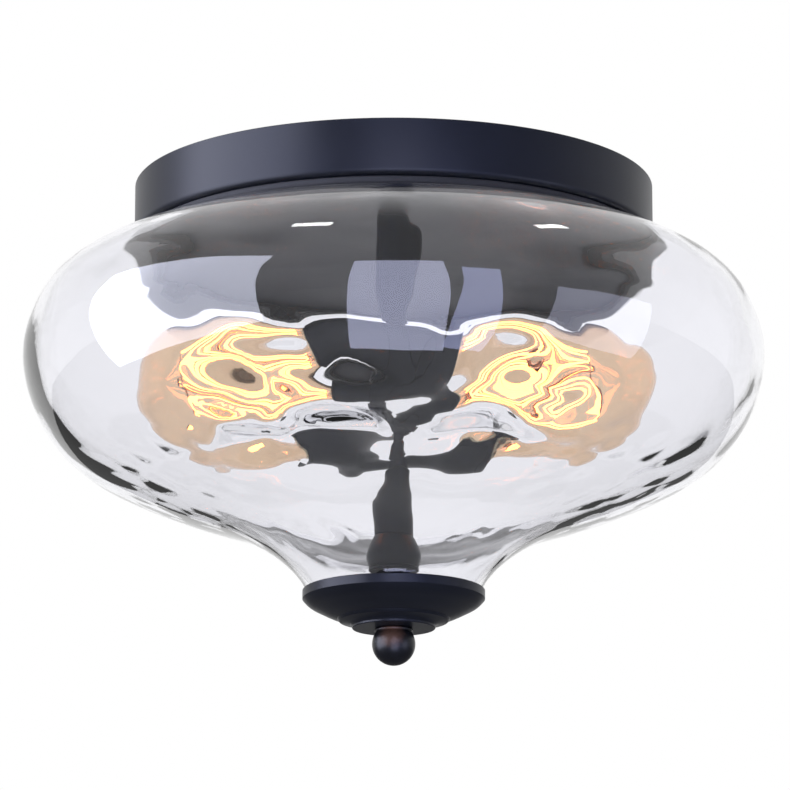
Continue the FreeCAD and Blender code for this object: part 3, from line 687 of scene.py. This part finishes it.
@dataclass
class GlassShade:
    """Blown bowl whose wall is dimpled inside like running water.

    The outside is turned from two lines of shares: the shoulder from the rim out to
    the belly, and the bowl from the belly in to the neck.  The inside lies a wall's
    thickness within it and then rises and falls with the ripples.
    """

    finishes: Finishes
    wall: float = 3.2 * MM
    rim_radius: float = 114.2 * MM
    neck_radius: float = 37.0 * MM
    belly_z: float = -76.0 * MM
    shoulder: tuple[Shares, ...] = (
        (0.0, 0.0), (0.27, 0.085), (0.55, 0.218), (0.80, 0.44), (0.94, 0.72), (1.0, 1.0))
    bowl: tuple[Shares, ...] = (
        (0.993, 0.099), (0.928, 0.299), (0.801, 0.458), (0.661, 0.546), (0.454, 0.643),
        (0.251, 0.726), (0.084, 0.853), (0.020, 0.945), (0.0, 1.0))
    steps: int = 288
    outer_step: float = 1.9 * MM
    rim_gap: float = 1.1            # walls between the rim and the inside's first point
    foot_gap: float = 0.4           # walls between the foot and the inside's last point

    # Dimples in the wall, one to a cell, and smaller droplets low on the bowl.
    cell: float = 34.0 * MM
    dimple: float = 1.9 * MM
    outer_dimple: float = 0.2 * MM
    outer_shift: tuple[float, float, float] = (0.5, 0.2, 0.1)   # off the inside's dimples
    dimple_reach: float = 0.72      # of a cell
    droplet_cell: float = 18.0 * MM
    droplet: float = 0.9 * MM
    droplet_zone: Zone = (-122.0 * MM, -136.0 * MM)

    # Long waves, belts as (height, how much thicker), and the lens-like swells.
    wave: float = 0.8 * MM
    wave_length: float = 58.0 * MM
    belts: tuple[tuple[float, float], ...] = (
        (-28 * MM, 0.0), (-76 * MM, 5 * MM), (-108 * MM, 2.8 * MM), (-122 * MM, 2.8 * MM),
        (-158 * MM, 0.0))
    swells: tuple[Swell, ...] = (
        Swell(20.0, -116 * MM, 37 * MM, 21 * MM, 5.0 * MM),
        Swell(-24.0, -116 * MM, 36 * MM, 21 * MM, 5.0 * MM),
        Swell(-6.0, -113 * MM, 50 * MM, 16 * MM, 3.5 * MM),
        Swell(-14.0, -142 * MM, 36 * MM, 14 * MM, 7.0 * MM),
        Swell(18.0, -141 * MM, 34 * MM, 13 * MM, 6.5 * MM),
        Swell(-33.0, -139 * MM, 22 * MM, 9 * MM, 4.0 * MM),
    )

    # Where the glass is calmer: at the sides, on the shoulder, and at its two ends.
    side_calm: float = 0.8
    side_zone: Zone = (0.55, 0.90)          # sines of the angle round the stem
    shoulder_share: float = 0.35
    shoulder_zone: Zone = (-78.0 * MM, -108.0 * MM)
    rim_zone: Zone = (2.0 * MM, 14.0 * MM)      # below the rim
    neck_zone: Zone = (34.0 * MM, 50.0 * MM)    # above the foot
    foot_zone: Zone = (5.0 * MM, 25.0 * MM)     # above the foot
    neck_share: float = 0.22

    def outline(self) -> list[Station]:
        """Work out the outside of the glass.

        Returns:
            Its points from the rim to the foot.
        """
        low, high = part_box("glass_shade")
        belly = high.x
        points = [(self.rim_radius + (belly - self.rim_radius) * r,
                   high.z - (high.z - self.belly_z) * d) for r, d in self.shoulder]
        points += [(self.neck_radius + (belly - self.neck_radius) * r,
                    self.belly_z - (self.belly_z - low.z) * d) for r, d in self.bowl]
        line = smooth_line(points, self.outer_step)
        return [(min(r, belly), z) for r, z in line]

    def inside(self, outer: Sequence[Station]) -> list[Station]:
        """Work out the inside of the wall before it is rippled.

        Args:
            outer: the outside, from rim to foot.

        Returns:
            Points a wall's thickness inside it, from the foot back up to the rim.
        """
        inner = []
        for i, (r, z) in enumerate(outer):
            before, after = outer[max(i - 1, 0)], outer[min(i + 1, len(outer) - 1)]
            dr, dz = after[0] - before[0], after[1] - before[1]
            size = math.hypot(dr, dz)
            spot = (r + self.wall * dz / size, z - self.wall * dr / size)
            if spot[0] > outer[0][0] - self.wall or z < self.belly_z:
                inner.append(spot)
        top = (outer[0][0] - self.wall, outer[0][1])
        foot = (outer[-1][0] - self.wall, outer[-1][1])
        inner = [p for p in inner if p[1] > foot[1] + self.wall * self.foot_gap]
        inner = [p for p in inner if p[1] < top[1] - self.wall * self.rim_gap]
        return [foot] + inner[::-1] + [top]

    def dimple_share(self, place: Vector, cell: float) -> float:
        """How deep the wall is dimpled at a place.

        Args:
            place: the place.
            cell: mean distance between two dimples.

        Returns:
            One in a dimple's middle, falling smoothly to zero at its edge.
        """
        spots = noise.voronoi(place / cell)[0]
        reach = min(spots[0] / self.dimple_reach, 1.0)
        return (1 - reach * reach) ** 2

    def fade(self, z: float, low: float, high: float) -> float:
        """Share of the ripple at a height: none at the rim, little in the neck.

        Args:
            z: the height.
            low: height of the foot.
            high: height of the rim.

        Returns:
            A share from 0 to 1.
        """
        from_rim = ramp(high - z, self.rim_zone)
        from_neck = ramp(z - low, self.neck_zone)
        from_foot = ramp(z - low, self.foot_zone)
        return from_rim * (self.neck_share * from_foot + (1 - self.neck_share) * from_neck)

    def belt_at(self, z: float) -> float:
        """How much thicker the belts make the wall.

        Args:
            z: the height.

        Returns:
            The added thickness, eased from one belt to the next.
        """
        for (high, first), (low, last) in zip(self.belts, self.belts[1:]):
            if z > low:
                share = ramp(z, (high, low))
                return first + (last - first) * share * share * (3 - 2 * share)
        return 0.0

    def thickening(self, place: Vector) -> float:
        """How far the inside of the wall stands proud of an even wall.

        Args:
            place: the place on the even wall.

        Returns:
            The added thickness there.
        """
        turn = math.degrees(math.atan2(place.x, -place.y))
        radius = math.hypot(place.x, place.y)
        aside = abs(math.sin(math.radians(turn)))
        front = 1 - self.side_calm * ramp(aside, self.side_zone)
        below = self.shoulder_share + (1 - self.shoulder_share) * ramp(place.z, self.shoulder_zone)
        rise = self.dimple * front * below * (1 - self.dimple_share(place, self.cell))
        lowest = ramp(place.z, self.droplet_zone)
        rise += self.droplet * lowest * (1 - self.dimple_share(place, self.droplet_cell))
        rise += self.wave * (1 + noise.noise(place / self.wave_length))
        rise += front * self.belt_at(place.z)
        for swell in self.swells:
            rise += swell.rise * swell.share(turn, radius, place.z)
        return rise

    def build(self) -> None:
        """Make the glass."""
        outer = self.outline()
        low, high = outer[-1][1], outer[0][1]
        bm = spun(outer + self.inside(outer), self.steps, len(outer))
        bm.normal_update()
        inside = bm.verts.layers.int["inside"]
        outer_shift = Vector(self.outer_shift)
        shifts = []
        for vert in bm.verts:
            if vert[inside]:
                rise = self.thickening(vert.co)
            else:
                rise = -self.outer_dimple * self.dimple_share(vert.co + outer_shift, self.cell)
            shifts.append(vert.normal * (rise * self.fade(vert.co.z, low, high)))
        for vert, shift in zip(bm.verts, shifts):
            vert.co += shift
        make_piece("water_glass_bowl", bm, self.finishes.shade_glass, Body.SHADE,
                   ["glass_shade"], sharp_angle=60.0)


# -------------------------------------------------------- stem, cap and finial
@dataclass
class Stem:
    """Tubes, bell and nut on the central rod."""

    finishes: Finishes
    radius: float = 8.7 * MM
    wall: float = 1.6 * MM
    edge: float = 0.4 * MM          # chamfer at a tube's ends
    bore: float = 5.05 * MM
    tube_steps: int = 64
    bell_steps: int = 72
    flange_height: float = 2.0 * MM
    flange_inset: float = 1.0 * MM  # of the flange within the bell's greatest radius
    flange_edge: float = 0.3 * MM
    groove: float = 0.5 * MM        # between the flange and the bell's body
    groove_lip: float = 0.1 * MM
    body_inset: float = 1.2 * MM    # of the body's foot within its greatest radius
    swell_at: float = 0.32          # of the body's height
    shoulder_at: float = 0.8
    shoulder_share: float = 0.45    # of the swell that is left at the shoulder
    line_step: float = 0.8 * MM     # between two points of the body's outline

    def build(self) -> None:
        """Make the stem's pieces."""
        self.tube("upper_stem", "stem_tube_upper")
        self.tube("lower_stem", "stem_tube_lower")
        self.bell()
        for node in ("bell_nut", "lower_rod", "hub"):
            dress(node, self.finishes.coat)

    def tube(self, node: str, name: str) -> None:
        """Make one tube.

        Args:
            node: the CAD node that it stands for.
            name: the piece's name.
        """
        low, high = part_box(node)
        outline = [(self.radius - self.edge, low.z), (self.radius, low.z + self.edge),
                   (self.radius, high.z - self.edge), (self.radius - self.edge, high.z),
                   (self.radius - self.wall, high.z), (self.radius - self.wall, low.z)]
        make_piece(name, spun(outline, self.tube_steps), self.finishes.coat, Body.FIXTURE,
                   [node])

    def bell(self) -> None:
        """Make the turned bell: a swelling body over a flange."""
        low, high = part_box("bell")
        radius = high.x
        foot = low.z + self.flange_height
        height = high.z - foot
        shoulder = self.radius + (radius - self.radius) * self.shoulder_share
        body = smooth_line([(radius - self.body_inset, foot),
                            (radius, foot + height * self.swell_at),
                            (shoulder, foot + height * self.shoulder_at),
                            (self.radius, high.z)], self.line_step)
        flange = radius - self.flange_inset
        lip = foot - self.groove_lip
        outline = [(self.bore, low.z), (flange - self.flange_edge, low.z),
                   (flange, low.z + self.flange_edge), (flange, lip - self.groove),
                   (flange - self.groove, lip)]
        outline += [(min(r, radius), z) for r, z in body] + [(self.bore, high.z)]
        make_piece("turned_bell", spun(outline, self.bell_steps), self.finishes.coat,
                   Body.FIXTURE, ["bell"])


@dataclass
class BottomCap:
    """Dished cap with its rings, and the gasket in it."""

    finishes: Finishes
    sheet: float = 1.0 * MM
    edge: float = 0.3 * MM
    band_height: float = 4.0 * MM
    step_radius: float = 25.0 * MM
    plate_radius: float = 18.4 * MM
    bore: float = 5.3 * MM
    steps: int = 128
    line_step: float = 0.9 * MM     # between two points of the dish's outline
    # Shares of the way from the rim in to the step, and from the band down to the floor.
    dish: tuple[Shares, ...] = (
        (0.0, 0.0), (0.14, 0.17), (0.42, 0.36), (0.72, 0.53), (1.0, 0.66))
    inner_shift: tuple[float, float] = (0.75, 0.9)  # sheets in and up, of the dish's inside

    def build(self) -> None:
        """Make the cap and dress its gasket."""
        low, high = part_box("bottom_cap")
        rim, top, floor = high.x, high.z, low.z
        band = top - self.band_height
        drop = band - floor
        width = rim - self.step_radius
        dish = smooth_line([(rim - width * r, band - drop * d) for r, d in self.dish],
                           self.line_step)[1:]
        # Each ring: a radius, the sheets that it stands outside that, and its share down.
        rings = [(radius + self.sheet * out, band - drop * down) for radius, out, down in (
            (self.step_radius, -0.35, 0.70), (self.step_radius, -1.0, 0.75),
            (self.plate_radius, 1.4, 0.82), (self.plate_radius, 0.5, 0.86),
            (self.plate_radius, 0.0, 0.92))]
        outline = [(rim - self.edge, top), (rim, top - self.edge), (rim, band)] + dish + rings
        outline += [(self.plate_radius, floor + self.edge), (self.plate_radius - self.edge, floor),
                    (self.bore, floor), (self.bore, floor + self.sheet),
                    (self.plate_radius - self.sheet, floor + self.sheet)]
        inwards, upwards = (share * self.sheet for share in self.inner_shift)
        outline += [(r - inwards, z + upwards) for r, z in (dish + rings[:-1])[::-1]]
        outline += [(rim - self.sheet, band), (rim - self.sheet, top)]
        make_piece("dished_cap", spun(outline, self.steps), self.finishes.coat, Body.SHADE,
                   ["bottom_cap"], sharp_angle=30.0)
        dress("neck_gasket", self.finishes.foam)


@dataclass
class Finial:
    """Ball finial with a collar and a waist."""

    finishes: Finishes
    ball_radius: float = 9.55 * MM
    collar_radius: float = 8.35 * MM
    collar_height: float = 1.4 * MM
    edge: float = 0.3 * MM
    waist_share: float = 0.86       # of the collar's radius
    waist_drop: float = 1.7 * MM
    bore: float = 5.3 * MM
    bore_depth: float = 9.0 * MM
    ball_steps: int = 28
    steps: int = 80

    def build(self) -> None:
        """Make the finial."""
        low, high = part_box("finial")
        waist = self.collar_radius * self.waist_share
        start = math.degrees(math.acos(waist / self.ball_radius))
        foot = high.z - self.collar_height
        outline = [(self.bore, high.z), (self.collar_radius - self.edge, high.z),
                   (self.collar_radius, high.z - self.edge),
                   (self.collar_radius, foot + self.edge), (self.collar_radius - self.edge, foot),
                   (waist, high.z - self.waist_drop)]
        outline += round_line((0, low.z + self.ball_radius), self.ball_radius, start, -90,
                              self.ball_steps)
        outline += [(0, high.z - self.bore_depth), (self.bore, high.z - self.bore_depth)]
        make_piece("ball_finial", spun(outline, self.steps), self.finishes.enamel_painted_highlight, Body.FINIAL,
                   ["finial"], sharp_angle=50.0)


# ------------------------------------------------------------------ lamps
@dataclass
class Socket:
    """One lamp socket of the cluster."""

    finishes: Finishes
    side: Side
    sheet: float = 1.0 * MM
    edge: float = 0.5 * MM
    hole: float = 10.5 * MM
    groove_at: float = 2.9 * MM     # from the mouth
    groove_reach: float = 0.5 * MM
    groove_depth: float = 0.35 * MM
    steps: int = 96

    def build(self) -> None:
        """Make the drawn cover and dress what it holds."""
        word = self.side.word
        low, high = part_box(word + "_socket_cover")
        axis = (low.z + high.z) / 2
        radius = (high.z - low.z) / 2
        back = min(abs(low.x), abs(high.x))
        mouth = max(abs(low.x), abs(high.x))
        groove = mouth - self.groove_at
        outline = [(self.hole, back), (radius - self.edge, back), (radius, back + self.edge),
                   (radius, groove - self.groove_reach), (radius - self.groove_depth, groove),
                   (radius, groove + self.groove_reach), (radius, mouth - self.edge),
                   (radius - self.edge, mouth), (radius - self.sheet, mouth),
                   (radius - self.sheet, back + self.sheet), (self.hole, back + self.sheet)]
        bm = spun(outline, self.steps)
        lay_lamp(bm, self.side, axis)
        make_piece(word + "_socket_cup", bm, self.finishes.coat, Body.FIXTURE,
                   [word + "_socket_cover"])
        dress(word + "_porcelain", self.finishes.porcelain)
        dress(word + "_screw_shell", self.finishes.brass)
        dress(word + "_centre_contact", self.finishes.brass)


@dataclass
class Lamp:
    """One amber screw lamp with its caged filament."""

    finishes: Finishes
    side: Side
    wall: float = 0.8 * MM
    neck_radius: float = 12.5 * MM
    # Shares of the way from the neck out to the bulb, and from the cap to the bulb's centre.
    flare: tuple[Shares, ...] = ((0.0, 0.0), (0.17, 0.30), (0.62, 0.65), (1.0, 1.0))
    steps: int = 96
    end_steps: int = 28
    line_step: float = 1.6 * MM     # between two points of the side's outline
    bends: int = 10                 # of the wire, at the cage's foot and head by turns
    foot_radius: float = 7.0 * MM
    head_radius: float = 12.5 * MM
    bend_reach: float = 3.0 * MM    # of a bend along the cage
    bend_share: float = 0.8         # of the angle from one bend to the next
    wire_radius: float = 0.55 * MM
    wire_resolution: int = 3        # of the wire's round section
    bend_resolution: int = 8        # steps from one point of the route to the next
    axis: float = field(init=False)
    radius: float = field(init=False)
    root: float = field(init=False)
    tip: float = field(init=False)
    cap_end: float = field(init=False)
    cage_foot: float = field(init=False)
    cage_head: float = field(init=False)

    def __post_init__(self) -> None:
        """Read the lamp's places from its CAD nodes."""
        low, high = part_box(self.side.word + "_lamp_glass")
        self.radius = (high.z - low.z) / 2
        self.axis = (high.z + low.z) / 2
        self.root, self.tip = sorted((abs(low.x), abs(high.x)))
        low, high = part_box(self.side.word + "_lamp_cap")
        self.cap_end = max(abs(low.x), abs(high.x))
        low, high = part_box(self.side.word + "_filament")
        self.cage_foot, self.cage_head = sorted((abs(low.x), abs(high.x)))

    def build(self) -> None:
        """Make the lamp's pieces."""
        self.envelope()
        self.filament()
        word = self.side.word
        dress(word + "_lamp_cap", self.finishes.nickel)
        dress(word + "_lamp_insulator", self.finishes.insulating_glass)
        dress(word + "_lamp_contact", self.finishes.solder)
        dress(word + "_lamp_stem", self.finishes.stem_glass)
        dress(word + "_filament_supports", self.finishes.support_wire)

    def envelope(self) -> None:
        """Make the blown glass: neck, flare and round end."""
        centre = self.tip - self.radius
        body = centre - self.cap_end
        swell = self.radius - self.neck_radius
        side = [(self.neck_radius, self.root)]
        side += [(self.neck_radius + swell * r, self.cap_end + body * d) for r, d in self.flare]
        side = smooth_line(side, self.line_step)
        outer = side + round_line((0, centre), self.radius, 0, 90, self.end_steps)[1:]
        inner = [(max(r - self.wall, 0), z) for r, z in side]
        inner += round_line((0, centre), self.radius - self.wall, 0, 90, self.end_steps)[1:]
        bm = spun(outer + inner[::-1], self.steps)
        lay_lamp(bm, self.side, self.axis)
        make_piece(self.side.word + "_amber_envelope", bm, self.finishes.lamp_glass,
                   self.side.body, [self.side.word + "_lamp_glass"],
                   sharp_angle=60.0)

    def wire_route(self) -> list[Vector]:
        """Run the wire to and fro between the cage's foot and its head.

        Returns:
            Three points for each bend, about the lamp's axis as Z.
        """
        half = math.pi / self.bends * self.bend_share
        route = []
        for i in range(self.bends):
            angle = 2 * math.pi * i / self.bends
            if i % 2 == 0:
                radius, end, inwards = self.foot_radius, self.cage_foot, self.bend_reach
            else:
                radius, end, inwards = self.head_radius, self.cage_head, -self.bend_reach
            for turn, along in ((angle - half, inwards), (angle, 0.0), (angle + half, inwards)):
                route.append(
                    Vector((radius * math.cos(turn), radius * math.sin(turn), end + along)))
        return route

    def filament(self) -> None:
        """Make the filament: straight strands joined by round bends."""
        route = self.wire_route()
        curve = bpy.data.curves.new(self.side.word + "_filament_wire", "CURVE")
        curve.dimensions = "3D"
        curve.bevel_depth = self.wire_radius
        curve.bevel_resolution = self.wire_resolution
        curve.resolution_u = self.bend_resolution
        spline = curve.splines.new("NURBS")
        spline.points.add(len(route) - 1)
        for point, place in zip(spline.points, route):
            point.co = (*place, 1)
        spline.order_u = 3
        spline.use_endpoint_u = True
        holder = bpy.data.objects.new("filament_route", curve)
        mesh = bpy.data.meshes.new_from_object(holder)
        bm = bmesh.new()
        bm.from_mesh(mesh)
        bpy.data.objects.remove(holder)
        bmesh.ops.holes_fill(bm, edges=bm.edges, sides=0)
        bmesh.ops.recalc_face_normals(bm, faces=bm.faces)
        lay_lamp(bm, self.side, self.axis)
        make_piece(self.side.word + "_glowing_filament", bm, self.finishes.filament,
                   self.side.body, [self.side.word + "_filament"])


# ---------------------------------------------------------------------- studio
@dataclass(frozen=True)
class SoftLamp:
    """A large lamp that lights the lantern and doesn't show in its gloss.

    turn is its angle round the stem from the front, lift its elevation, both in
    degrees, and away its distance from the lantern.
    """

    name: str
    turn: float
    lift: float
    away: float
    size: tuple[float, float]
    watts: float


@dataclass(frozen=True)
class Card:
    """A bright card that the glass and the enamel reflect, and that lights nothing else.

    turn, lift and away say where it is, as for a soft lamp; spread is the width and
    height that it covers seen from the lantern, in degrees; level is its brightness,
    where white is 1.
    """

    name: str
    turn: float
    lift: float
    away: float
    spread: tuple[float, float]
    level: float
    colour: str


@dataclass
class Studio:
    """Camera, floor, world and lamps round the lantern."""

    distance: float = 2.2
    sideways: float = 0.00056
    camera_z: float = -0.61274
    pitch_degrees: float = 13.255
    lens_mm: float = 231.47
    sensor_mm: float = 36.0
    far_clip: float = 50.0
    aim_z: float = -0.09            # where the lamps and cards point

    floor_z: float = -0.80
    floor_half: float = 6.0
    floor_colour: str = "#F2F2F4"
    floor_roughness: float = 0.9
    floor_through: float = 0.9      # brightness seen through glass
    floor_gloss: float = 0.2        # brightness reflected by glass and enamel
    floor_lift: float = 0.4         # added for the eye

    world_level: float = 0.5
    room_level: float = 0.07        # reflected from the side of the camera
    through_level: float = 0.85     # seen through glass on that side
    room_zone: Zone = (-0.5, 0.1)   # from that side to the far one, by direction along Y

    soft_lamps: tuple[SoftLamp, ...] = (
        SoftLamp("soft_left", -55, 40, 2.2, (1.4, 1.2), 26.0),
        SoftLamp("soft_right", 50, 35, 2.2, (1.2, 1.2), 14.0))
    cards: tuple[Card, ...] = (
        Card("card_left", -68, 5, 1.0, (60, 58), 10.0, "#E4E8FF"),
        Card("card_middle", 1.5, -15, 0.75, (27, 64), 8.0, "#D6DBFF"),
        Card("card_narrow", 23.5, -15, 0.75, (11, 56), 6.5, "#C4CCFF"),
        Card("card_right", 62, -13, 1.0, (32, 31), 4.0, "#DCE0FF"),
        Card("strip_left", -34, 57, 1.2, (9, 3), 22.0, "#FFFFFF"),
        Card("strip_right", 69, 55, 1.2, (9, 3), 22.0, "#FFFFFF"))

    def build(self) -> None:
        """Set up everything round the lantern."""
        self.camera()
        self.floor()
        self.world()
        self.lights()
        bpy.context.scene.view_settings.view_transform = "Standard"

    def camera(self) -> None:
        """Place the camera below the lantern, looking up at it."""
        data = bpy.data.cameras.new("camera")
        data.lens = self.lens_mm
        data.sensor_width = self.sensor_mm
        data.clip_end = self.far_clip
        camera = bpy.data.objects.new("camera", data)
        camera.location = (self.sideways, -self.distance, self.camera_z)
        camera.rotation_euler = (math.radians(90 + self.pitch_degrees), 0, 0)
        bpy.context.scene.collection.objects.link(camera)
        bpy.context.scene.camera = camera

    def floor(self) -> None:
        """Lay a plain pale floor far below."""
        bm = bmesh.new()
        bmesh.ops.create_grid(bm, x_segments=1, y_segments=1, size=self.floor_half)
        bmesh.ops.translate(bm, verts=bm.verts, vec=(0, 0, self.floor_z))
        mesh = bpy.data.meshes.new("floor")
        bm.to_mesh(mesh)
        bm.free()
        mesh.materials.append(self.floor_material())
        floor = bpy.data.objects.new("floor", mesh)
        bpy.context.scene.collection.objects.link(floor)

    def floor_material(self) -> bpy.types.Material:
        """Make the floor's matte paper, which gloss and glass see at set levels.

        Returns:
            The material.
        """
        material, tree, output = new_material("pale_floor")
        path = add_node(tree, "ShaderNodeLightPath")
        lift = add_node(tree, "ShaderNodeMath", {"operation": "MULTIPLY", 1: self.floor_lift},
                        {0: path.outputs["Is Camera Ray"]})
        matt = add_node(tree, "ShaderNodeBsdfPrincipled",
                        {"Base Color": linear(self.floor_colour),
                         "Roughness": self.floor_roughness, "Emission Color": WHITE},
                        {"Emission Strength": lift.outputs[0]})
        level = add_node(tree, "ShaderNodeMapRange",
                         {"To Min": self.floor_gloss, "To Max": self.floor_through},
                         {"Value": path.outputs["Is Transmission Ray"]})
        glow = add_node(tree, "ShaderNodeEmission", {"Color": WHITE},
                        {"Strength": level.outputs["Result"]})
        bent = add_node(tree, "ShaderNodeMath", {"operation": "MAXIMUM"},
                        {0: path.outputs["Is Glossy Ray"], 1: path.outputs["Is Transmission Ray"]})
        shader = add_node(tree, "ShaderNodeMixShader",
                          links={0: bent.outputs[0], 1: matt.outputs[0], 2: glow.outputs[0]})
        tree.links.new(shader.outputs[0], output.inputs["Surface"])
        return material

    def world(self) -> None:
        """White surround, which the lantern's front reflects as a dim room."""
        world = bpy.data.worlds.new("studio")
        world.use_nodes = True
        tree = world.node_tree
        tree.nodes.clear()
        way = add_node(tree, "ShaderNodeTexCoord").outputs["Generated"]
        along = add_node(tree, "ShaderNodeSeparateXYZ", links={"Vector": way})
        start, full = self.room_zone
        gloss, through = (
            add_node(tree, "ShaderNodeMapRange",
                     {"interpolation_type": "SMOOTHSTEP", "From Min": start, "From Max": full,
                      "To Min": near_level, "To Max": 1.0}, {"Value": along.outputs["Y"]})
            for near_level in (self.room_level, self.through_level))
        level = self.seen_level(tree, gloss.outputs["Result"], through.outputs["Result"])
        background = add_node(tree, "ShaderNodeBackground", {"Color": WHITE}, {"Strength": level})
        output = add_node(tree, "ShaderNodeOutputWorld")
        tree.links.new(background.outputs[0], output.inputs["Surface"])
        bpy.context.scene.world = world

    def seen_level(self, tree: bpy.types.NodeTree, gloss: bpy.types.NodeSocket,
                   through: bpy.types.NodeSocket) -> bpy.types.NodeSocket:
        """Brightness of the surround by the kind of ray that meets it.

        Args:
            tree: the world's node tree.
            gloss: brightness that glass and enamel reflect.
            through: brightness that is seen through glass.

        Returns:
            The brightness: 1 for the eye, the plain level for matt surfaces.
        """
        path = add_node(tree, "ShaderNodeLightPath")
        level = path.outputs["Is Camera Ray"]
        for ray, value in (("Is Glossy Ray", {1: gloss}), ("Is Transmission Ray", {1: through}),
                           ("Is Diffuse Ray", {})):
            part = add_node(tree, "ShaderNodeMath", {"operation": "MULTIPLY", 1: self.world_level},
                            {0: path.outputs[ray]} | value)
            most = add_node(tree, "ShaderNodeMath", {"operation": "MAXIMUM"},
                            {0: level, 1: part.outputs[0]})
            level = most.outputs[0]
        return level

    def lights(self) -> None:
        """Hang the soft lamps, and the bright cards that the glass and enamel reflect."""
        for soft in self.soft_lamps:
            lamp = self.area(soft.name, (soft.turn, soft.lift), soft.away, soft.size,
                             soft.watts, "#FFFFFF")
            lamp.visible_glossy = False
        for card in self.cards:
            size = tuple(2 * card.away * math.tan(math.radians(angle / 2))
                         for angle in card.spread)
            lamp = self.area(card.name, (card.turn, card.lift), card.away, size,
                             card.level * math.pi * size[0] * size[1], card.colour)
            lamp.visible_diffuse = False

    def area(self, name: str, direction: tuple[float, float], away: float,
             size: tuple[float, float], power: float, colour: str) -> bpy.types.Object:
        """Hang one rectangular lamp that faces the lantern.

        Args:
            name: the lamp's name.
            direction: angle round the stem from the front, and angle of elevation, in degrees.
            away: distance from the lantern.
            size: width and height.
            power: watts.
            colour: sRGB hex.

        Returns:
            The lamp, which neither the camera nor the glass shows directly.
        """
        turn, lift = (math.radians(angle) for angle in direction)
        data = bpy.data.lights.new(name, "AREA")
        data.shape = "RECTANGLE"
        data.size, data.size_y = size
        data.energy = power
        data.color = linear(colour)[:3]
        lamp = bpy.data.objects.new(name, data)
        out = Vector((math.cos(lift) * math.sin(turn), -math.cos(lift) * math.cos(turn),
                      math.sin(lift)))
        lamp.location = Vector((0, 0, self.aim_z)) + out * away
        lamp.rotation_euler = (-out).to_track_quat("-Z", "Y").to_euler()
        lamp.visible_camera = False
        lamp.visible_transmission = False
        bpy.context.scene.collection.objects.link(lamp)
        return lamp


def main() -> None:
    """Build the lantern and its studio."""
    logging.basicConfig(level=logging.INFO, format="%(name)s %(message)s")
    Studio().build()
    finishes = Finishes()
    CeilingPan(finishes).build()
    Stem(finishes).build()
    for side in Side:
        Socket(finishes, side).build()
        Lamp(finishes, side).build()
    dress("socket_screws", finishes.zinc)
    dress("black_leads", finishes.black_insulation)
    dress("white_leads", finishes.white_insulation)
    GlassShade(finishes).build()
    BottomCap(finishes).build()
    Finial(finishes).build()


if __name__ == "__main__":
    main()
